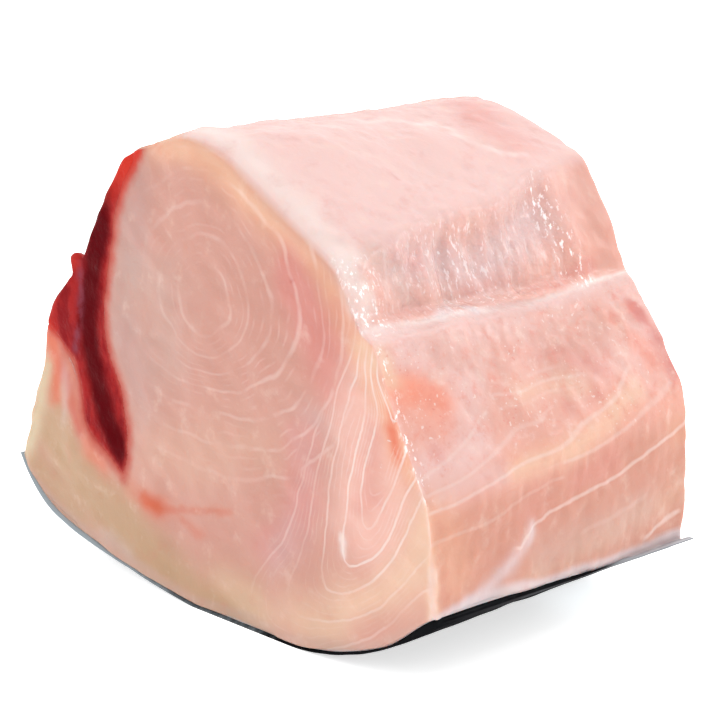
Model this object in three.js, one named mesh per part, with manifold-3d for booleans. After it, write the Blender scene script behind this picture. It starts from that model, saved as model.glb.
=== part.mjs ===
// A skin-on block of swordfish loin: the pale muscle, the dark blood line that runs down one side
// of it, and the skin that it rests on.
//
// Millimetres. X runs across the loin, Y along the fish, Z up. The block is a loft along Y between
// the near cut face (share 0) and the far cut face (share 1). The origin is at the middle of the
// underside of the skin.

import * as THREE from "three";
import { mergeVertices } from "three/addons/utils/BufferGeometryUtils.js";
import Module from "manifold-3d";

// Driving dimensions
const LENGTH = 126; // along the fish, between the two cut faces
const FLAT_LEFT = -8; // the skin lies flat between these two, where the loin rests
const FLAT_RIGHT = 40;
const SKIN_LEFT = { near: -107.5, far: -106 }; // the skin's two long edges
const SKIN_RIGHT = { near: 107, far: 103.5 };
const SLOPE_LEFT = 17.5; // the belly side's gentle rise from the flat to its edge
const SLOPE_POWER = 1.25; // the power that shapes that rise
const CURL_LEFT = 16.5; // how far its edge curls up beyond that
const CURL_POWER = 9.5; // the power that keeps the curl close to the edge
const RISE_RIGHT = { near: 24.4, far: 21.4 };
const BEND_RIGHT = { near: 1.9, far: 2.5 }; // the power that shapes that rise
const SKIN_THICK = 1.5;
const SKIN_OVERHANG = 0.6; // past each cut face
const FLAP = 3.5; // how far the skin stands out from the muscle at the far right corner
const FLAP_START = 0.55; // the share of the length where it starts to
const GAP = 0.3; // between neighbouring solids
const SLIVER = 0.05; // a cut solid's edges closer together than this are joined
const WELD = 1e-4; // corners closer together than this are one
const END_ROUNDING = 2; // of the block's edges round each cut face
const DIP = 2; // of the crest, midway along
const DIP_HEIGHTS = [110, 160]; // where the dip starts and where it is full
const SCOOP = 4; // of the flank below the ridge, midway along
const SAG_POWER = 0.7; // the power that keeps both broad
const MEAN_RADIUS = 85; // of the cut across the fish
const FILLET_LIMIT = 0.45; // the most of a side that one fillet takes
const BAND_DRIFT = [1.5, 0.6]; // how far the blood line leans from the near face to the far face

// Fineness
const FILLET_STEPS = 5;
const SKIN_STEPS = 32;
const STATIONS = 14;
const BAND_STEPS = 18;
const EDGE_STEPS = 3;

// The corners of the cut across the fish, from the right foot round over the top to the left foot:
// place on the near face, place on the far face, and fillet radius.
const CORNERS = {
  shoulder: { near: [103.8, 65.5], far: [104.6, 71], fillet: 11 },
  brow: { near: [94, 81.5], far: [95, 86.6], fillet: 12 },
  lip: { near: [79.2, 108.2], far: [77.6, 108.2], fillet: 3 },
  crease: { near: [73.4, 109], far: [75, 110.4], fillet: 2 },
  flank: { near: [69.4, 121], far: [66.4, 129], fillet: 8 },
  ridge: { near: [64, 131], far: [53, 150.2], fillet: 6 },
  saddle: { near: [27, 153.2], far: [29, 160.2], fillet: 16 },
  crest: { near: [12, 162.2], far: [14, 164.4], fillet: 10 },
  crown: { near: [-8, 165.2], far: [-4, 165.8], fillet: 8 },
  temple: { near: [-40, 155], far: [-38.6, 156], fillet: 6 },
  waist: { near: [-67, 113.6], far: [-66, 114], fillet: 8 },
  haunch: { near: [-88, 90], far: [-86.2, 90.4], fillet: 7 },
};
const FOOT_RIGHT = { near: 105.8, far: 103 };
const FOOT_LEFT = { near: -106.6, far: -105 };

// The blood line's two long sides across the fish. Both run from the open left side, where they
// start outside the block, to the blunt tip deep in the muscle.
const BAND_CORE_SIDE = [
  [-20, 168], [-32, 149.5], [-43.5, 131], [-51.5, 111], [-55, 90], [-48, 74], [-41, 47], [-41.5, 35],
];
const BAND_BELLY_SIDE = [
  [-99, 86], [-88, 84], [-80, 80], [-73, 68], [-66, 53.5], [-56, 45.5], [-45.5, 36.5],
];
const BAND_OUTSIDE = [[-50, 185], [-115, 120]];

// A size that changes evenly from the near face to the far face.
function along({ near, far }, share) {
  return THREE.MathUtils.lerp(near, far, share);
}

// Height of the skin's underside at x: flat in the middle, a curve up to the right edge, and
// to the left a gentle slope that ends in a tight curl.
function skinHeight(x, share) {
  if (x > FLAT_RIGHT) {
    const reach = (x - FLAT_RIGHT) / (along(SKIN_RIGHT, share) - FLAT_RIGHT);
    return along(RISE_RIGHT, share) * reach ** along(BEND_RIGHT, share);
  }
  if (x < FLAT_LEFT) {
    const reach = (FLAT_LEFT - x) / (FLAT_LEFT - along(SKIN_LEFT, share));
    return SLOPE_LEFT * reach ** SLOPE_POWER + CURL_LEFT * reach ** CURL_POWER;
  }
  return 0;
}

// Height of the muscle's underside at x, just above the skin.
function muscleHeight(x, share) {
  return skinHeight(x, share) + SKIN_THICK + GAP;
}

// One corner's place at a share of the length. The crest dips a little between the two cut faces
// and the flank below the ridge is hollow there.
function cornerAt(corner, share) {
  const place = new THREE.Vector2(...corner.near).lerp(new THREE.Vector2(...corner.far), share);
  const sag = Math.sin(Math.PI * share) ** SAG_POWER;
  const hollow = corner === CORNERS.flank ? SCOOP * sag : 0;
  const dip = DIP * sag * THREE.MathUtils.smoothstep(place.y, ...DIP_HEIGHTS);
  return new THREE.Vector2(place.x - hollow, place.y - dip);
}

// The rounded outline across the fish at a share of the length: fillets at the corners, then the
// underside from left to right.
function outlineAt(share) {
  const right = along(FOOT_RIGHT, share);
  const left = along(FOOT_LEFT, share);
  const corners = Object.values(CORNERS);
  const places = [
    new THREE.Vector2(right, muscleHeight(right, share)),
    ...corners.map((corner) => cornerAt(corner, share)),
    new THREE.Vector2(left, muscleHeight(left, share)),
  ];
  const outline = [places[0]];
  corners.forEach(({ fillet }, i) => {
    const [before, here, after] = places.slice(i, i + 3);
    const start = towards(here, before, fillet);
    const end = towards(here, after, fillet);
    outline.push(...new THREE.QuadraticBezierCurve(start, here, end).getPoints(FILLET_STEPS));
  });
  const underside = widthSteps(left, right).slice(0, -1);
  outline.push(...underside.map((x) => new THREE.Vector2(x, muscleHeight(x, share))));
  return outline;
}

// Places across the loin from left to right, closer together towards the two curled edges.
function widthSteps(left, right) {
  const turns = Array.from({ length: SKIN_STEPS + 1 }, (_, i) => (Math.PI * i) / SKIN_STEPS);
  return turns.map((turn) => THREE.MathUtils.lerp(left, right, (1 - Math.cos(turn)) / 2));
}

// The point a distance from one place towards another, never past the limit on a fillet.
function towards(from, to, distance) {
  return from.clone().lerp(to, Math.min(FILLET_LIMIT, distance / from.distanceTo(to)));
}

// The outline at a share of the length drawn in by an inset at its sides and top, with its foot
// kept on the skin.
function drawnInAt(share, inset) {
  const scale = 1 - inset / MEAN_RADIUS;
  return outlineAt(share).map((point) => {
    const x = point.x * scale;
    const height = (point.y - muscleHeight(point.x, share)) * scale;
    return new THREE.Vector2(x, muscleHeight(x, share) + height);
  });
}

// A closed solid through outlines that all have the same number of points, each at its own y. Each
// end is closed by the triangles that cap gives for its outline.
function loft(rings, cap = capOutline) {
  const count = rings[0].outline.length;
  const positions = rings.flatMap(({ outline, y }) => outline.flatMap((p) => [p.x, y, p.y]));
  const index = [];
  for (let r = 0; r + 1 < rings.length; r++) {
    for (let i = 0; i < count; i++) {
      const a = r * count + i;
      const b = r * count + ((i + 1) % count);
      index.push(a, a + count, b, b, a + count, b + count);
    }
  }
  const last = (rings.length - 1) * count;
  cap(rings[0].outline).forEach(([a, b, c]) => index.push(a, b, c));
  cap(rings.at(-1).outline).forEach(([a, b, c]) => index.push(last + a, last + c, last + b));
  return new THREE.BufferGeometry()
    .setAttribute("position", new THREE.Float32BufferAttribute(positions, 3))
    .setIndex(index);
}

// Triangles that fill any outline.
function capOutline(outline) {
  return THREE.ShapeUtils.triangulateShape(outline, []);
}

// Triangles that fill a sheet's outline, from its underside straight across to its upper side.
function capSheet(outline) {
  const half = outline.length / 2;
  const across = (j) => outline.length - 1 - j;
  return Array.from({ length: half - 1 }, (_, j) => [
    [j, j + 1, across(j)],
    [j + 1, across(j + 1), across(j)],
  ]).flat();
}

// The whole block of fish, muscle and blood line together, with rounded edges at both cut faces.
function blockGeometry() {
  const rings = [];
  for (let i = 0; i <= EDGE_STEPS; i++) {
    const turn = (i / EDGE_STEPS) * (Math.PI / 2);
    const share = (END_ROUNDING * (1 - Math.cos(turn))) / LENGTH;
    const inset = END_ROUNDING * (1 - Math.sin(turn));
    rings.push({ outline: drawnInAt(share, inset), y: share * LENGTH });
    rings.push({ outline: drawnInAt(1 - share, inset), y: (1 - share) * LENGTH });
  }
  for (let i = 1; i < STATIONS; i++) {
    rings.push({ outline: outlineAt(i / STATIONS), y: (i / STATIONS) * LENGTH });
  }
  return loft(rings.sort((a, b) => a.y - b.y));
}

// The prism that holds the blood line, drawn out by a margin into the muscle.
function bandGeometry(margin) {
  const side = (points, dx, dy) => {
    const moved = points.map(([x, y]) => new THREE.Vector2(x + dx, y + dy));
    return new THREE.SplineCurve(moved).getPoints(BAND_STEPS);
  };
  const core = side(BAND_CORE_SIDE, margin, -margin / 2);
  const belly = side(BAND_BELLY_SIDE, -margin / 2, -margin);
  const outside = BAND_OUTSIDE.map((point) => new THREE.Vector2(...point));
  const outline = [...core.reverse(), ...outside, ...belly];
  const drift = new THREE.Vector2(...BAND_DRIFT);
  const drifted = outline.map((point) => point.clone().add(drift));
  return loft([
    { outline, y: -END_ROUNDING },
    { outline: drifted, y: LENGTH + END_ROUNDING },
  ]);
}

// The skin: a sheet of even thickness, a little wider and longer than the muscle on it.
function skinGeometry() {
  const rings = [];
  for (let i = 0; i <= STATIONS; i++) {
    const share = i / STATIONS;
    const flap = FLAP * THREE.MathUtils.smoothstep(share, FLAP_START, 1);
    const right = along(SKIN_RIGHT, share) + flap;
    const left = along(SKIN_LEFT, share);
    const steps = widthSteps(left, right);
    const under = steps.map((x) => new THREE.Vector2(x, skinHeight(x, share)));
    const over = under.map((p) => new THREE.Vector2(p.x, p.y + SKIN_THICK)).reverse();
    const y = THREE.MathUtils.lerp(-SKIN_OVERHANG, LENGTH + SKIN_OVERHANG, share);
    rings.push({ outline: [...under, ...over], y });
  }
  return loft(rings, capSheet);
}

const wasm = await Module();
wasm.setup();

// A closed geometry as a solid that can be cut.
function solidOf(geometry) {
  const merged = mergeVertices(geometry, WELD);
  const vertProperties = merged.attributes.position.array;
  const triVerts = new Uint32Array(merged.index.array);
  return new wasm.Manifold(new wasm.Mesh({ numProp: 3, vertProperties, triVerts }));
}

// A cut solid back as a geometry, with the slivers that the cut leaves taken up.
function geometryOf(solid) {
  const { vertProperties, triVerts } = solid.simplify(SLIVER).getMesh();
  return new THREE.BufferGeometry()
    .setAttribute("position", new THREE.BufferAttribute(vertProperties, 3))
    .setIndex(new THREE.BufferAttribute(triVerts, 1));
}

// One named sub-part with its colour and gloss.
function piece(name, geometry, color, roughness) {
  geometry.computeVertexNormals();
  const material = new THREE.MeshStandardMaterial({ color, roughness, metalness: 0 });
  const mesh = new THREE.Mesh(geometry, material);
  mesh.name = name;
  return mesh;
}

const block = solidOf(blockGeometry());
const muscle = block.subtract(solidOf(bandGeometry(GAP)));
const bloodLine = block.intersect(solidOf(bandGeometry(0)));

const loin = new THREE.Group();
loin.add(
  piece("white_muscle", geometryOf(muscle), 0xe6b5a3, 0.4),
  piece("blood_line", geometryOf(bloodLine), 0x7a1418, 0.35),
  piece("skin", skinGeometry(), 0x2c3134, 0.35),
);

// Puts the origin at the middle of the underside.
const box = new THREE.Box3().setFromObject(loin);
const middle = box.getCenter(new THREE.Vector3());
loin.position.set(-middle.x, -middle.y, -box.min.z);

export default loin;
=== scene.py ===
"""A skin-on block of swordfish loin on a plain pale floor.

Three pieces make the block: the pale muscle, the dark blood line that runs through it from one
cut face to the other, and the skin underneath. The classes work in millimetres, with X across the
loin, Y along the fish and Z up, and write their meshes in metres. A place on the loin is given as
(across, share, up): per cent of the muscle's half width from its middle, share of its length from
the near cut face, and per cent of its height from its lowest point. A pair is (across, up) on a
cut face.
"""

import logging
import math
from dataclasses import dataclass, field
from enum import Enum

import bpy
import numpy as np
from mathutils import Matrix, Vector


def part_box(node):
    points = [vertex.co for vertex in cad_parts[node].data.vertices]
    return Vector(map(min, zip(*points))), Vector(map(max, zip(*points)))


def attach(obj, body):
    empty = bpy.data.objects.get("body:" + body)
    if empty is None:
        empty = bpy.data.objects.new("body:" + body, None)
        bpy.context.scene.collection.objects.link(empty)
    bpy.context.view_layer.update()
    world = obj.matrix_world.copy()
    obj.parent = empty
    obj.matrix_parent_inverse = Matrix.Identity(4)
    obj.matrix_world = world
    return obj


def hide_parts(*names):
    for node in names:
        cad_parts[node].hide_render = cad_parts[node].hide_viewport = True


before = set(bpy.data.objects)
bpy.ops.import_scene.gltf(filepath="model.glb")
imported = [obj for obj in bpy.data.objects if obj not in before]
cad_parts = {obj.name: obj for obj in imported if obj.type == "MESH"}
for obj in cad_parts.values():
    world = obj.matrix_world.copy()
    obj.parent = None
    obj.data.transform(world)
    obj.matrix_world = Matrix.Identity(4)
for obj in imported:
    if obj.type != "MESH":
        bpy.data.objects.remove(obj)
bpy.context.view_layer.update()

MM = 0.001
TINY = 1e-9
Place = tuple[float, float, float]
Places = tuple[tuple[float, ...], ...]
Rgb = tuple[float, float, float]
Pair = tuple[float, float]
log = logging.getLogger("loin")


# ---- Shapes in numbers


def ease(low: float, high: float, value: np.ndarray) -> np.ndarray:
    """A smooth step.

    Args:
        low: where the step starts, at 0.
        high: where it ends, at 1; it may be below low.
        value: numbers to place on the step.

    Returns:
        3 t squared minus 2 t cubed, with t the clipped share of the way from low to high.
    """
    t = np.clip((np.asarray(value, float) - low) / (high - low), 0.0, 1.0)
    return t * t * (3.0 - 2.0 * t)


def bell(distance: np.ndarray, reach: float) -> np.ndarray:
    """1 at no distance, falling as e to the minus square of distance over reach."""
    return np.exp(-((distance / reach) ** 2))


def between(pair: Pair, share: np.ndarray) -> np.ndarray:
    """A size that goes from the first of a pair, at the near face, to the second, at the far."""
    return pair[0] + (pair[1] - pair[0]) * share


def stand(flat: np.ndarray, y: np.ndarray) -> np.ndarray:
    """(x, y, z) of (x, z) points and the Y of each."""
    return np.stack([flat[..., 0], np.broadcast_to(y, flat.shape[:-1]), flat[..., 1]], axis=-1)


def unit(vectors: np.ndarray) -> np.ndarray:
    """Each vector at a length of 1."""
    return vectors / np.maximum(np.linalg.norm(vectors, axis=-1, keepdims=True), TINY)


def read(where: np.ndarray, values: np.ndarray, at: np.ndarray) -> np.ndarray:
    """Rows of values, given at rising places, read at others along straight pieces."""
    return np.stack([np.interp(at, where, column) for column in values.T], axis=-1)


def run_length(points: np.ndarray) -> np.ndarray:
    """How far each point is from the first, along straight pieces."""
    return np.r_[0.0, np.cumsum(np.linalg.norm(np.diff(points, axis=0), axis=1))]


def hermite(at: np.ndarray, values: np.ndarray, where: np.ndarray) -> np.ndarray:
    """Smooth values between given ones.

    Cubic Hermite pieces, whose slope at each given value is the mean of the two chords beside
    it, weighed towards the shorter one.

    Args:
        at: where the values are given, in rising order.
        values: a row for each of them.
        where: where to read the values, in any shape.

    Returns:
        The values there, in a last axis.
    """
    slopes = np.gradient(values, at, axis=0)
    left = np.clip(np.searchsorted(at, where, side="right") - 1, 0, len(at) - 2)
    step = (at[left + 1] - at[left])[..., None]
    t = (where - at[left])[..., None] / step
    return (
        values[left] * (2 * t**3 - 3 * t**2 + 1)
        + slopes[left] * step * (t**3 - 2 * t**2 + t)
        + values[left + 1] * (3 * t**2 - 2 * t**3)
        + slopes[left + 1] * step * (t**3 - t**2)
    )


def glide(share: np.ndarray, stops: tuple[Place, ...]) -> np.ndarray:
    """(across, up) at each share, on a smooth path through (share, across, up) stops."""
    knots = np.array(stops, float)
    return hermite(knots[:, 0], knots[:, 1:], np.clip(share, knots[0, 0], knots[-1, 0]))


def curve(points: np.ndarray, count: int) -> np.ndarray:
    """Points evenly spaced by length along a smooth curve through the given ones.

    Args:
        points: the points to pass through, one per row.
        count: how many points to return.

    Returns:
        count rows, from the first point to the last.
    """
    points = np.asarray(points, float)
    reach = run_length(points)
    fine = hermite(reach, points, np.linspace(0.0, reach[-1], count * 8))
    run = run_length(fine)
    return read(run, fine, np.linspace(0.0, run[-1], count))


def path_distance(points: np.ndarray, path: np.ndarray) -> np.ndarray:
    """Distance from each point to the nearest place on a path of straight pieces.

    Args:
        points: one point per row.
        path: the path's corners, one per row; a single row is a spot.

    Returns:
        One distance per point.
    """
    if len(path) == 1:
        return np.linalg.norm(points - path[0], axis=-1)
    nearest = np.full(len(points), np.inf)
    for start, end in zip(path[:-1], path[1:]):
        run = end - start
        t = np.clip((points - start) @ run / max(run @ run, TINY), 0.0, 1.0)
        nearest = np.minimum(nearest, np.linalg.norm(points - start - t[:, None] * run, axis=1))
    return nearest


def polygon_gap(points: np.ndarray, corners: np.ndarray) -> np.ndarray:
    """Signed distance from each point to a polygon's edge.

    A point is inside when a ray from it crosses the edge an odd number of times.

    Args:
        points: (x, z), one per row.
        corners: the polygon's corners in order.

    Returns:
        The distance to the edge, below zero inside.
    """
    closed = np.vstack([corners, corners[:1]])
    gap = path_distance(points, closed)
    inside = np.zeros(len(points), bool)
    for (x0, z0), (x1, z1) in zip(closed[:-1], closed[1:]):
        if z0 == z1:
            continue
        spans = (z0 > points[:, 1]) != (z1 > points[:, 1])
        crossing = x0 + (points[:, 1] - z0) * (x1 - x0) / (z1 - z0)
        inside ^= spans & (points[:, 0] < crossing)
    return np.where(inside, -gap, gap)


@dataclass(frozen=True)
class Ripples:
    """A smooth random field: a sum of cosine waves in random directions, with a spread of 1.

    Attributes:
        wavelength: the middle wavelength.
        seed: fixes the draw.
        stretch: how much longer the waves are along X, Y and Z.
        waves: how many are added.
    """

    wavelength: float
    seed: int
    stretch: Place = (1.0, 1.0, 1.0)
    waves: int = 26

    def at(self, places: np.ndarray) -> np.ndarray:
        """The field's value at each place."""
        draw = np.random.default_rng(self.seed)
        ways = unit(draw.normal(size=(self.waves, 3)))
        lengths = self.wavelength * draw.uniform(0.65, 1.6, self.waves)
        numbers = 2 * math.pi * ways / lengths[:, None] / np.array(self.stretch)
        phases = draw.uniform(0, 2 * math.pi, self.waves)
        flat = places.reshape(-1, 3)
        value = np.cos(flat @ numbers.T + phases).sum(axis=1) / math.sqrt(self.waves / 2)
        return value.reshape(places.shape[:-1])


@dataclass(frozen=True)
class LevelField:
    """A smooth field that takes a set level on each of a family of lines.

    The field is a plane plus, for each sample on the lines, a weight times the cube of the
    distance to it; the weights are solved so that every sample has its line's level.

    Attributes:
        samples: sample places, one per row.
        levels: the level at each sample.
        slack: how far the field may pass a sample by, which keeps it smooth.
        batch: how many points are worked out at once.
    """

    samples: np.ndarray
    levels: np.ndarray
    slack: float = 8.0
    batch: int = 20000

    def at(self, points: np.ndarray) -> tuple[np.ndarray, np.ndarray]:
        """The field at each point.

        Args:
            points: one point per row.

        Returns:
            The field, and how many millimetres one whole level spans there.
        """
        count, size = self.samples.shape
        apart = np.linalg.norm(self.samples[:, None] - self.samples[None], axis=2)
        plane = np.c_[np.ones(count), self.samples]
        system = np.zeros((count + size + 1, count + size + 1))
        system[:count, :count] = apart**3 + self.slack * np.eye(count)
        system[:count, count:] = plane
        system[count:, :count] = plane.T
        weights = np.linalg.solve(system, np.r_[self.levels, np.zeros(size + 1)])
        value = np.zeros(len(points))
        slope = np.zeros((len(points), size))
        for start in range(0, len(points), self.batch):
            some = slice(start, start + self.batch)
            away = points[some][:, None] - self.samples[None]
            far = np.linalg.norm(away, axis=2)
            flat = weights[count] + points[some] @ weights[count + 1:]
            value[some] = far**3 @ weights[:count] + flat
            steep = np.einsum("pn,pnd,n->pd", far, away, weights[:count])
            slope[some] = 3 * steep + weights[count + 1:]
        return value, 1.0 / np.maximum(np.linalg.norm(slope, axis=1), 0.01)


# ---- The block


@dataclass(frozen=True)
class Block:
    """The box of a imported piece, in which places are given.

    Attributes:
        low: its lowest corner, in millimetres.
        high: its highest corner.
    """

    low: np.ndarray
    high: np.ndarray

    @classmethod
    def of(cls, node: str) -> "Block":
        """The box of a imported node."""
        low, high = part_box(node)
        return cls(np.array(low) / MM, np.array(high) / MM)

    @property
    def length(self) -> float:
        """Its length along the fish."""
        return self.high[1] - self.low[1]

    def x(self, across: np.ndarray) -> np.ndarray:
        """X of a per cent of the half width from the middle."""
        half = (self.high[0] - self.low[0]) / 2
        return (self.high[0] + self.low[0]) / 2 + np.asarray(across) / 100 * half

    def y(self, share: np.ndarray) -> np.ndarray:
        """Y of a share of the length."""
        return self.low[1] + np.asarray(share) * self.length

    def z(self, up: np.ndarray) -> np.ndarray:
        """Z of a per cent of the height."""
        return self.low[2] + np.asarray(up) / 100 * (self.high[2] - self.low[2])

    def across(self, x: np.ndarray) -> np.ndarray:
        """Per cent of the half width from the middle, of an X."""
        return (x - self.x(0)) / (self.x(100) - self.x(0)) * 100

    def share(self, y: np.ndarray) -> np.ndarray:
        """Share of the length, of a Y."""
        return (y - self.low[1]) / self.length

    def up(self, z: np.ndarray) -> np.ndarray:
        """Per cent of the height, of a Z."""
        return (z - self.low[2]) / (self.high[2] - self.low[2]) * 100

    def measured(self, places: np.ndarray) -> tuple[np.ndarray, np.ndarray, np.ndarray]:
        """Across, share and up of (x, y, z) places."""
        return self.across(places[:, 0]), self.share(places[:, 1]), self.up(places[:, 2])

    def cut(self, pairs: np.ndarray) -> np.ndarray:
        """(x, z) of (across, up) pairs on a cut face."""
        pairs = np.asarray(pairs, float)
        return np.stack([self.x(pairs[..., 0]), self.z(pairs[..., 1])], axis=-1)

    def spots(self, places: Places) -> np.ndarray:
        """(x, y, z) of (across, share, up) places, or of (across, up) pairs on the near face."""
        given = np.asarray(places, float)
        share = given[..., 1] if given.shape[-1] == 3 else np.zeros(given.shape[:-1])
        return stand(self.cut(given[..., [0, -1]]), self.y(share))


@dataclass(frozen=True)
class Underside:
    """The skin's lower surface: flat in the middle, where the loin rests, and curled up at both
    long edges.

    Attributes:
        box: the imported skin's box.
        flat_left, flat_right: the flat strip's two edges.
        slope_left, curl_left: the gentle rise to the left edge, and the tight curl's rise.
        rise_right: the rise to the right edge at the near and the far cut face.
        bend_right: the power that shapes that rise at the near and the far face.
        taper_left, taper_right: how much nearer the middle the two edges lie at the far face.
        slope_power, curl_power: the powers that shape the two rises to the left.
        thin, thick: thickness over most of it, and along the near part of its right edge.
    """

    box: Block
    flat_left: float = -7.8
    flat_right: float = 40.2
    slope_left: float = 17.5
    curl_left: float = 16.5
    rise_right: Pair = (24.4, 21.2)
    bend_right: Pair = (1.9, 1.42)
    taper_left: float = 1.5
    taper_right: float = 3.5
    slope_power: float = 1.25
    curl_power: float = 9.5
    thin: float = 0.75
    thick: float = 3.6

    def left(self, share: np.ndarray) -> np.ndarray:
        """X of the left edge."""
        return self.box.low[0] + self.taper_left * share

    def right(self, share: np.ndarray) -> np.ndarray:
        """X of the right edge, under the muscle."""
        return self.box.high[0] - self.taper_right * share

    def cover(self, x: np.ndarray, share: np.ndarray) -> np.ndarray:
        """How thick the skin is: thickest along the near part of its right edge."""
        right = ease(84.0, 103.0, x) * (1 - 0.84 * ease(0.1, 0.75, share))
        return self.thin + (self.thick - self.thin) * right + 0.5 * ease(-40.0, -80.0, x)

    def height(self, x: np.ndarray, share: np.ndarray) -> np.ndarray:
        """Z of the lower surface.

        To the right, the rise times a power of the share of the way to the edge. To the left,
        the slope and the curl, each times a power of that share.

        Args:
            x: where across.
            share: where along.

        Returns:
            The height.
        """
        right = np.clip((x - self.flat_right) / (self.right(share) - self.flat_right), 0, 1.2)
        left = np.clip((self.flat_left - x) / (self.flat_left - self.left(share)), 0, 1.02)
        rise = between(self.rise_right, share) * right ** between(self.bend_right, share)
        slope = self.slope_left * left**self.slope_power
        return rise + slope + self.curl_left * left**self.curl_power


@dataclass(frozen=True)
class Corner:
    """One corner of the cut across the fish.

    Attributes:
        stops: its (share, across, up) along the fish.
        fillet: radius across the fish.
        soft: rounding where it meets the near and the far cut face.
        spacing: of the points between it and the next corner.
    """

    stops: tuple[Place, ...]
    fillet: float
    soft: Pair = (1.5, 2.0)
    spacing: float = 1.0


@dataclass(frozen=True)
class Section:
    """The outline across the fish, which changes from the near face to the far face.

    Attributes:
        block: the box it is measured from.
        underside: the skin that it stands on.
        corners: from above the right foot, over the top, to above the left foot.
        foot_right, foot_left: the two feet's places across, at the near and the far face.
        crease: which corner is the crease under the ledge, counted from 0.
        sink: how deep the muscle's underside sits in the skin.
        fillet_steps, underside_steps: fineness.
        fillet_limit: the most of a straight run that one fillet takes up.
        soft_reach: how far, in millimetres, a corner's rounding is carried round the outline.
        soft_usual: the rounding where there is no corner near.
    """

    block: Block
    underside: Underside
    corners: tuple[Corner, ...] = (
        Corner(((0, 97.2, 35.6), (0.07, 97.6, 37.2), (0.25, 98, 39.4), (0.5, 98.2, 39.6),
               (1, 98.4, 42.8)), 7, (1, 2.5), 0.95),
        Corner(((0, 87, 47.4), (0.07, 88, 48), (0.25, 89.2, 49.2), (0.5, 89.6, 49.6),
               (1, 91, 51.2)), 12, (1, 2.5), 0.95),
        Corner(((0, 75, 64.4), (0.1, 75, 65), (0.3, 74.8, 65.2), (0.65, 73.9, 64.7),
               (1, 73.6, 65.4)), 2.2, (1.2, 2), 0.9),
        Corner(((0, 69.4, 66.2), (0.1, 69.8, 66.6), (0.2, 70, 65.7), (0.3, 70.4, 66.2),
               (0.4, 70.5, 65.9), (0.65, 71.2, 65.2), (0.8, 71.4, 66), (1, 71.2, 67)), 1.6, (2, 2),
               0.95),
        Corner(((0, 64.6, 72), (0.06, 65.4, 73), (0.5, 63.4, 74.6), (0.8, 63.6, 77),
               (1, 63.8, 77.8)), 8, (2.6, 3), 0.95),
        Corner(((0, 59.6, 77.2), (0.05, 60.4, 78.9), (0.13, 59.3, 80.6), (0.23, 58.2, 81.9),
               (0.33, 57.4, 83), (0.47, 56.2, 84.1), (0.6, 55.2, 84.8), (0.75, 53, 88),
               (0.87, 51.4, 89.7), (1, 50.6, 90.4)), 5, (3, 2), 1.1),
        Corner(((0, 23.8, 90.4), (0.06, 25.6, 92.5), (0.5, 27, 94.2), (1, 27.7, 96.9)), 18,
               (3, 2.5), 1.15),
        Corner(((0, 9.8, 95.6), (0.06, 11.6, 98), (0.3, 12.2, 97.9), (0.6, 12.7, 97.8),
               (1, 13.6, 99.4)), 12, (3, 2.5), 1.15),
        Corner(((0, -8.2, 98.8), (0.06, -7.2, 99.8), (0.13, -6.7, 99.4), (0.5, -5.5, 99.1),
               (0.7, -4.8, 98.9), (0.82, -4.3, 99.2), (0.93, -3.7, 100), (1, -3.4, 100.2)), 10,
               (3, 2.5), 1.2),
        Corner(((0, -36.9, 93.4), (1, -36, 94.3)), 9, (2.5, 2.5), 1.3),
        Corner(((0, -62.9, 68), (1, -61.8, 68.5)), 8, (1.5, 2), 1.3),
        Corner(((0, -81.9, 54), (1, -80.8, 54.3)), 8, (1.5, 2), 1.3),
        Corner(((0, -87.2, 41), (1, -87, 41.4)), 16, (1.5, 2), 1.4),
    )
    foot_right: Pair = (99.6, 97.0)
    foot_left: Pair = (-100.0, -98.5)
    crease: int = 3
    sink: float = 0.2
    fillet_steps: int = 5
    underside_steps: int = 100
    fillet_limit: float = 0.45
    soft_reach: float = 15.0
    soft_usual: float = 1.5

    def outlines(self, shares: np.ndarray) -> np.ndarray:
        """The closed outline at several shares of the length.

        Each corner is a quadratic curve between the two points a fillet's length away from it,
        and straight runs join the corners. The underside follows the skin, on places that crowd
        towards both edges as a cosine does.

        Args:
            shares: where along the fish.

        Returns:
            (x, z) for each share and each point round the outline.
        """
        corners = np.stack(
            [self.block.cut(glide(shares, corner.stops)) for corner in self.corners]
        )
        feet = [self._on_skin(self.block.x(between(foot, shares)), shares)
                for foot in (self.foot_right, self.foot_left)]
        places = np.concatenate([feet[0][None], corners, feet[1][None]])
        parts = []
        previous = places[0]
        for i, corner in enumerate(self.corners, start=1):
            here = places[i]
            start = self._towards(here, places[i - 1], corner.fillet)
            end = self._towards(here, places[i + 1], corner.fillet)
            parts.append(self._run(previous, start, self.corners[max(i - 2, 0)].spacing))
            t = (np.arange(self.fillet_steps) / self.fillet_steps)[:, None, None]
            parts.append((1 - t) ** 2 * start + 2 * t * (1 - t) * here + t**2 * end)
            previous = end
        parts.append(self._run(previous, places[-1], self.corners[-1].spacing))
        turn = np.linspace(0, math.pi, self.underside_steps + 1)[:-1, None]
        x = feet[1][:, 0] + (feet[0][:, 0] - feet[1][:, 0]) * (1 - np.cos(turn)) / 2
        parts.append(self._on_skin(x, shares))
        return np.concatenate(parts).transpose(1, 0, 2)

    def _on_skin(self, x: np.ndarray, shares: np.ndarray) -> np.ndarray:
        """(x, z) of the muscle's underside, which lies a little way into the skin."""
        z = self.underside.height(x, shares) + self.underside.cover(x, shares) - self.sink
        return np.stack([x, z], axis=-1)

    def _towards(self, here: np.ndarray, there: np.ndarray, distance: float) -> np.ndarray:
        """Points a distance from here towards there, never past the fillet's limit."""
        run = there - here
        far = np.linalg.norm(run, axis=-1, keepdims=True)
        return here + run * np.minimum(self.fillet_limit, distance / far)

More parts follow.
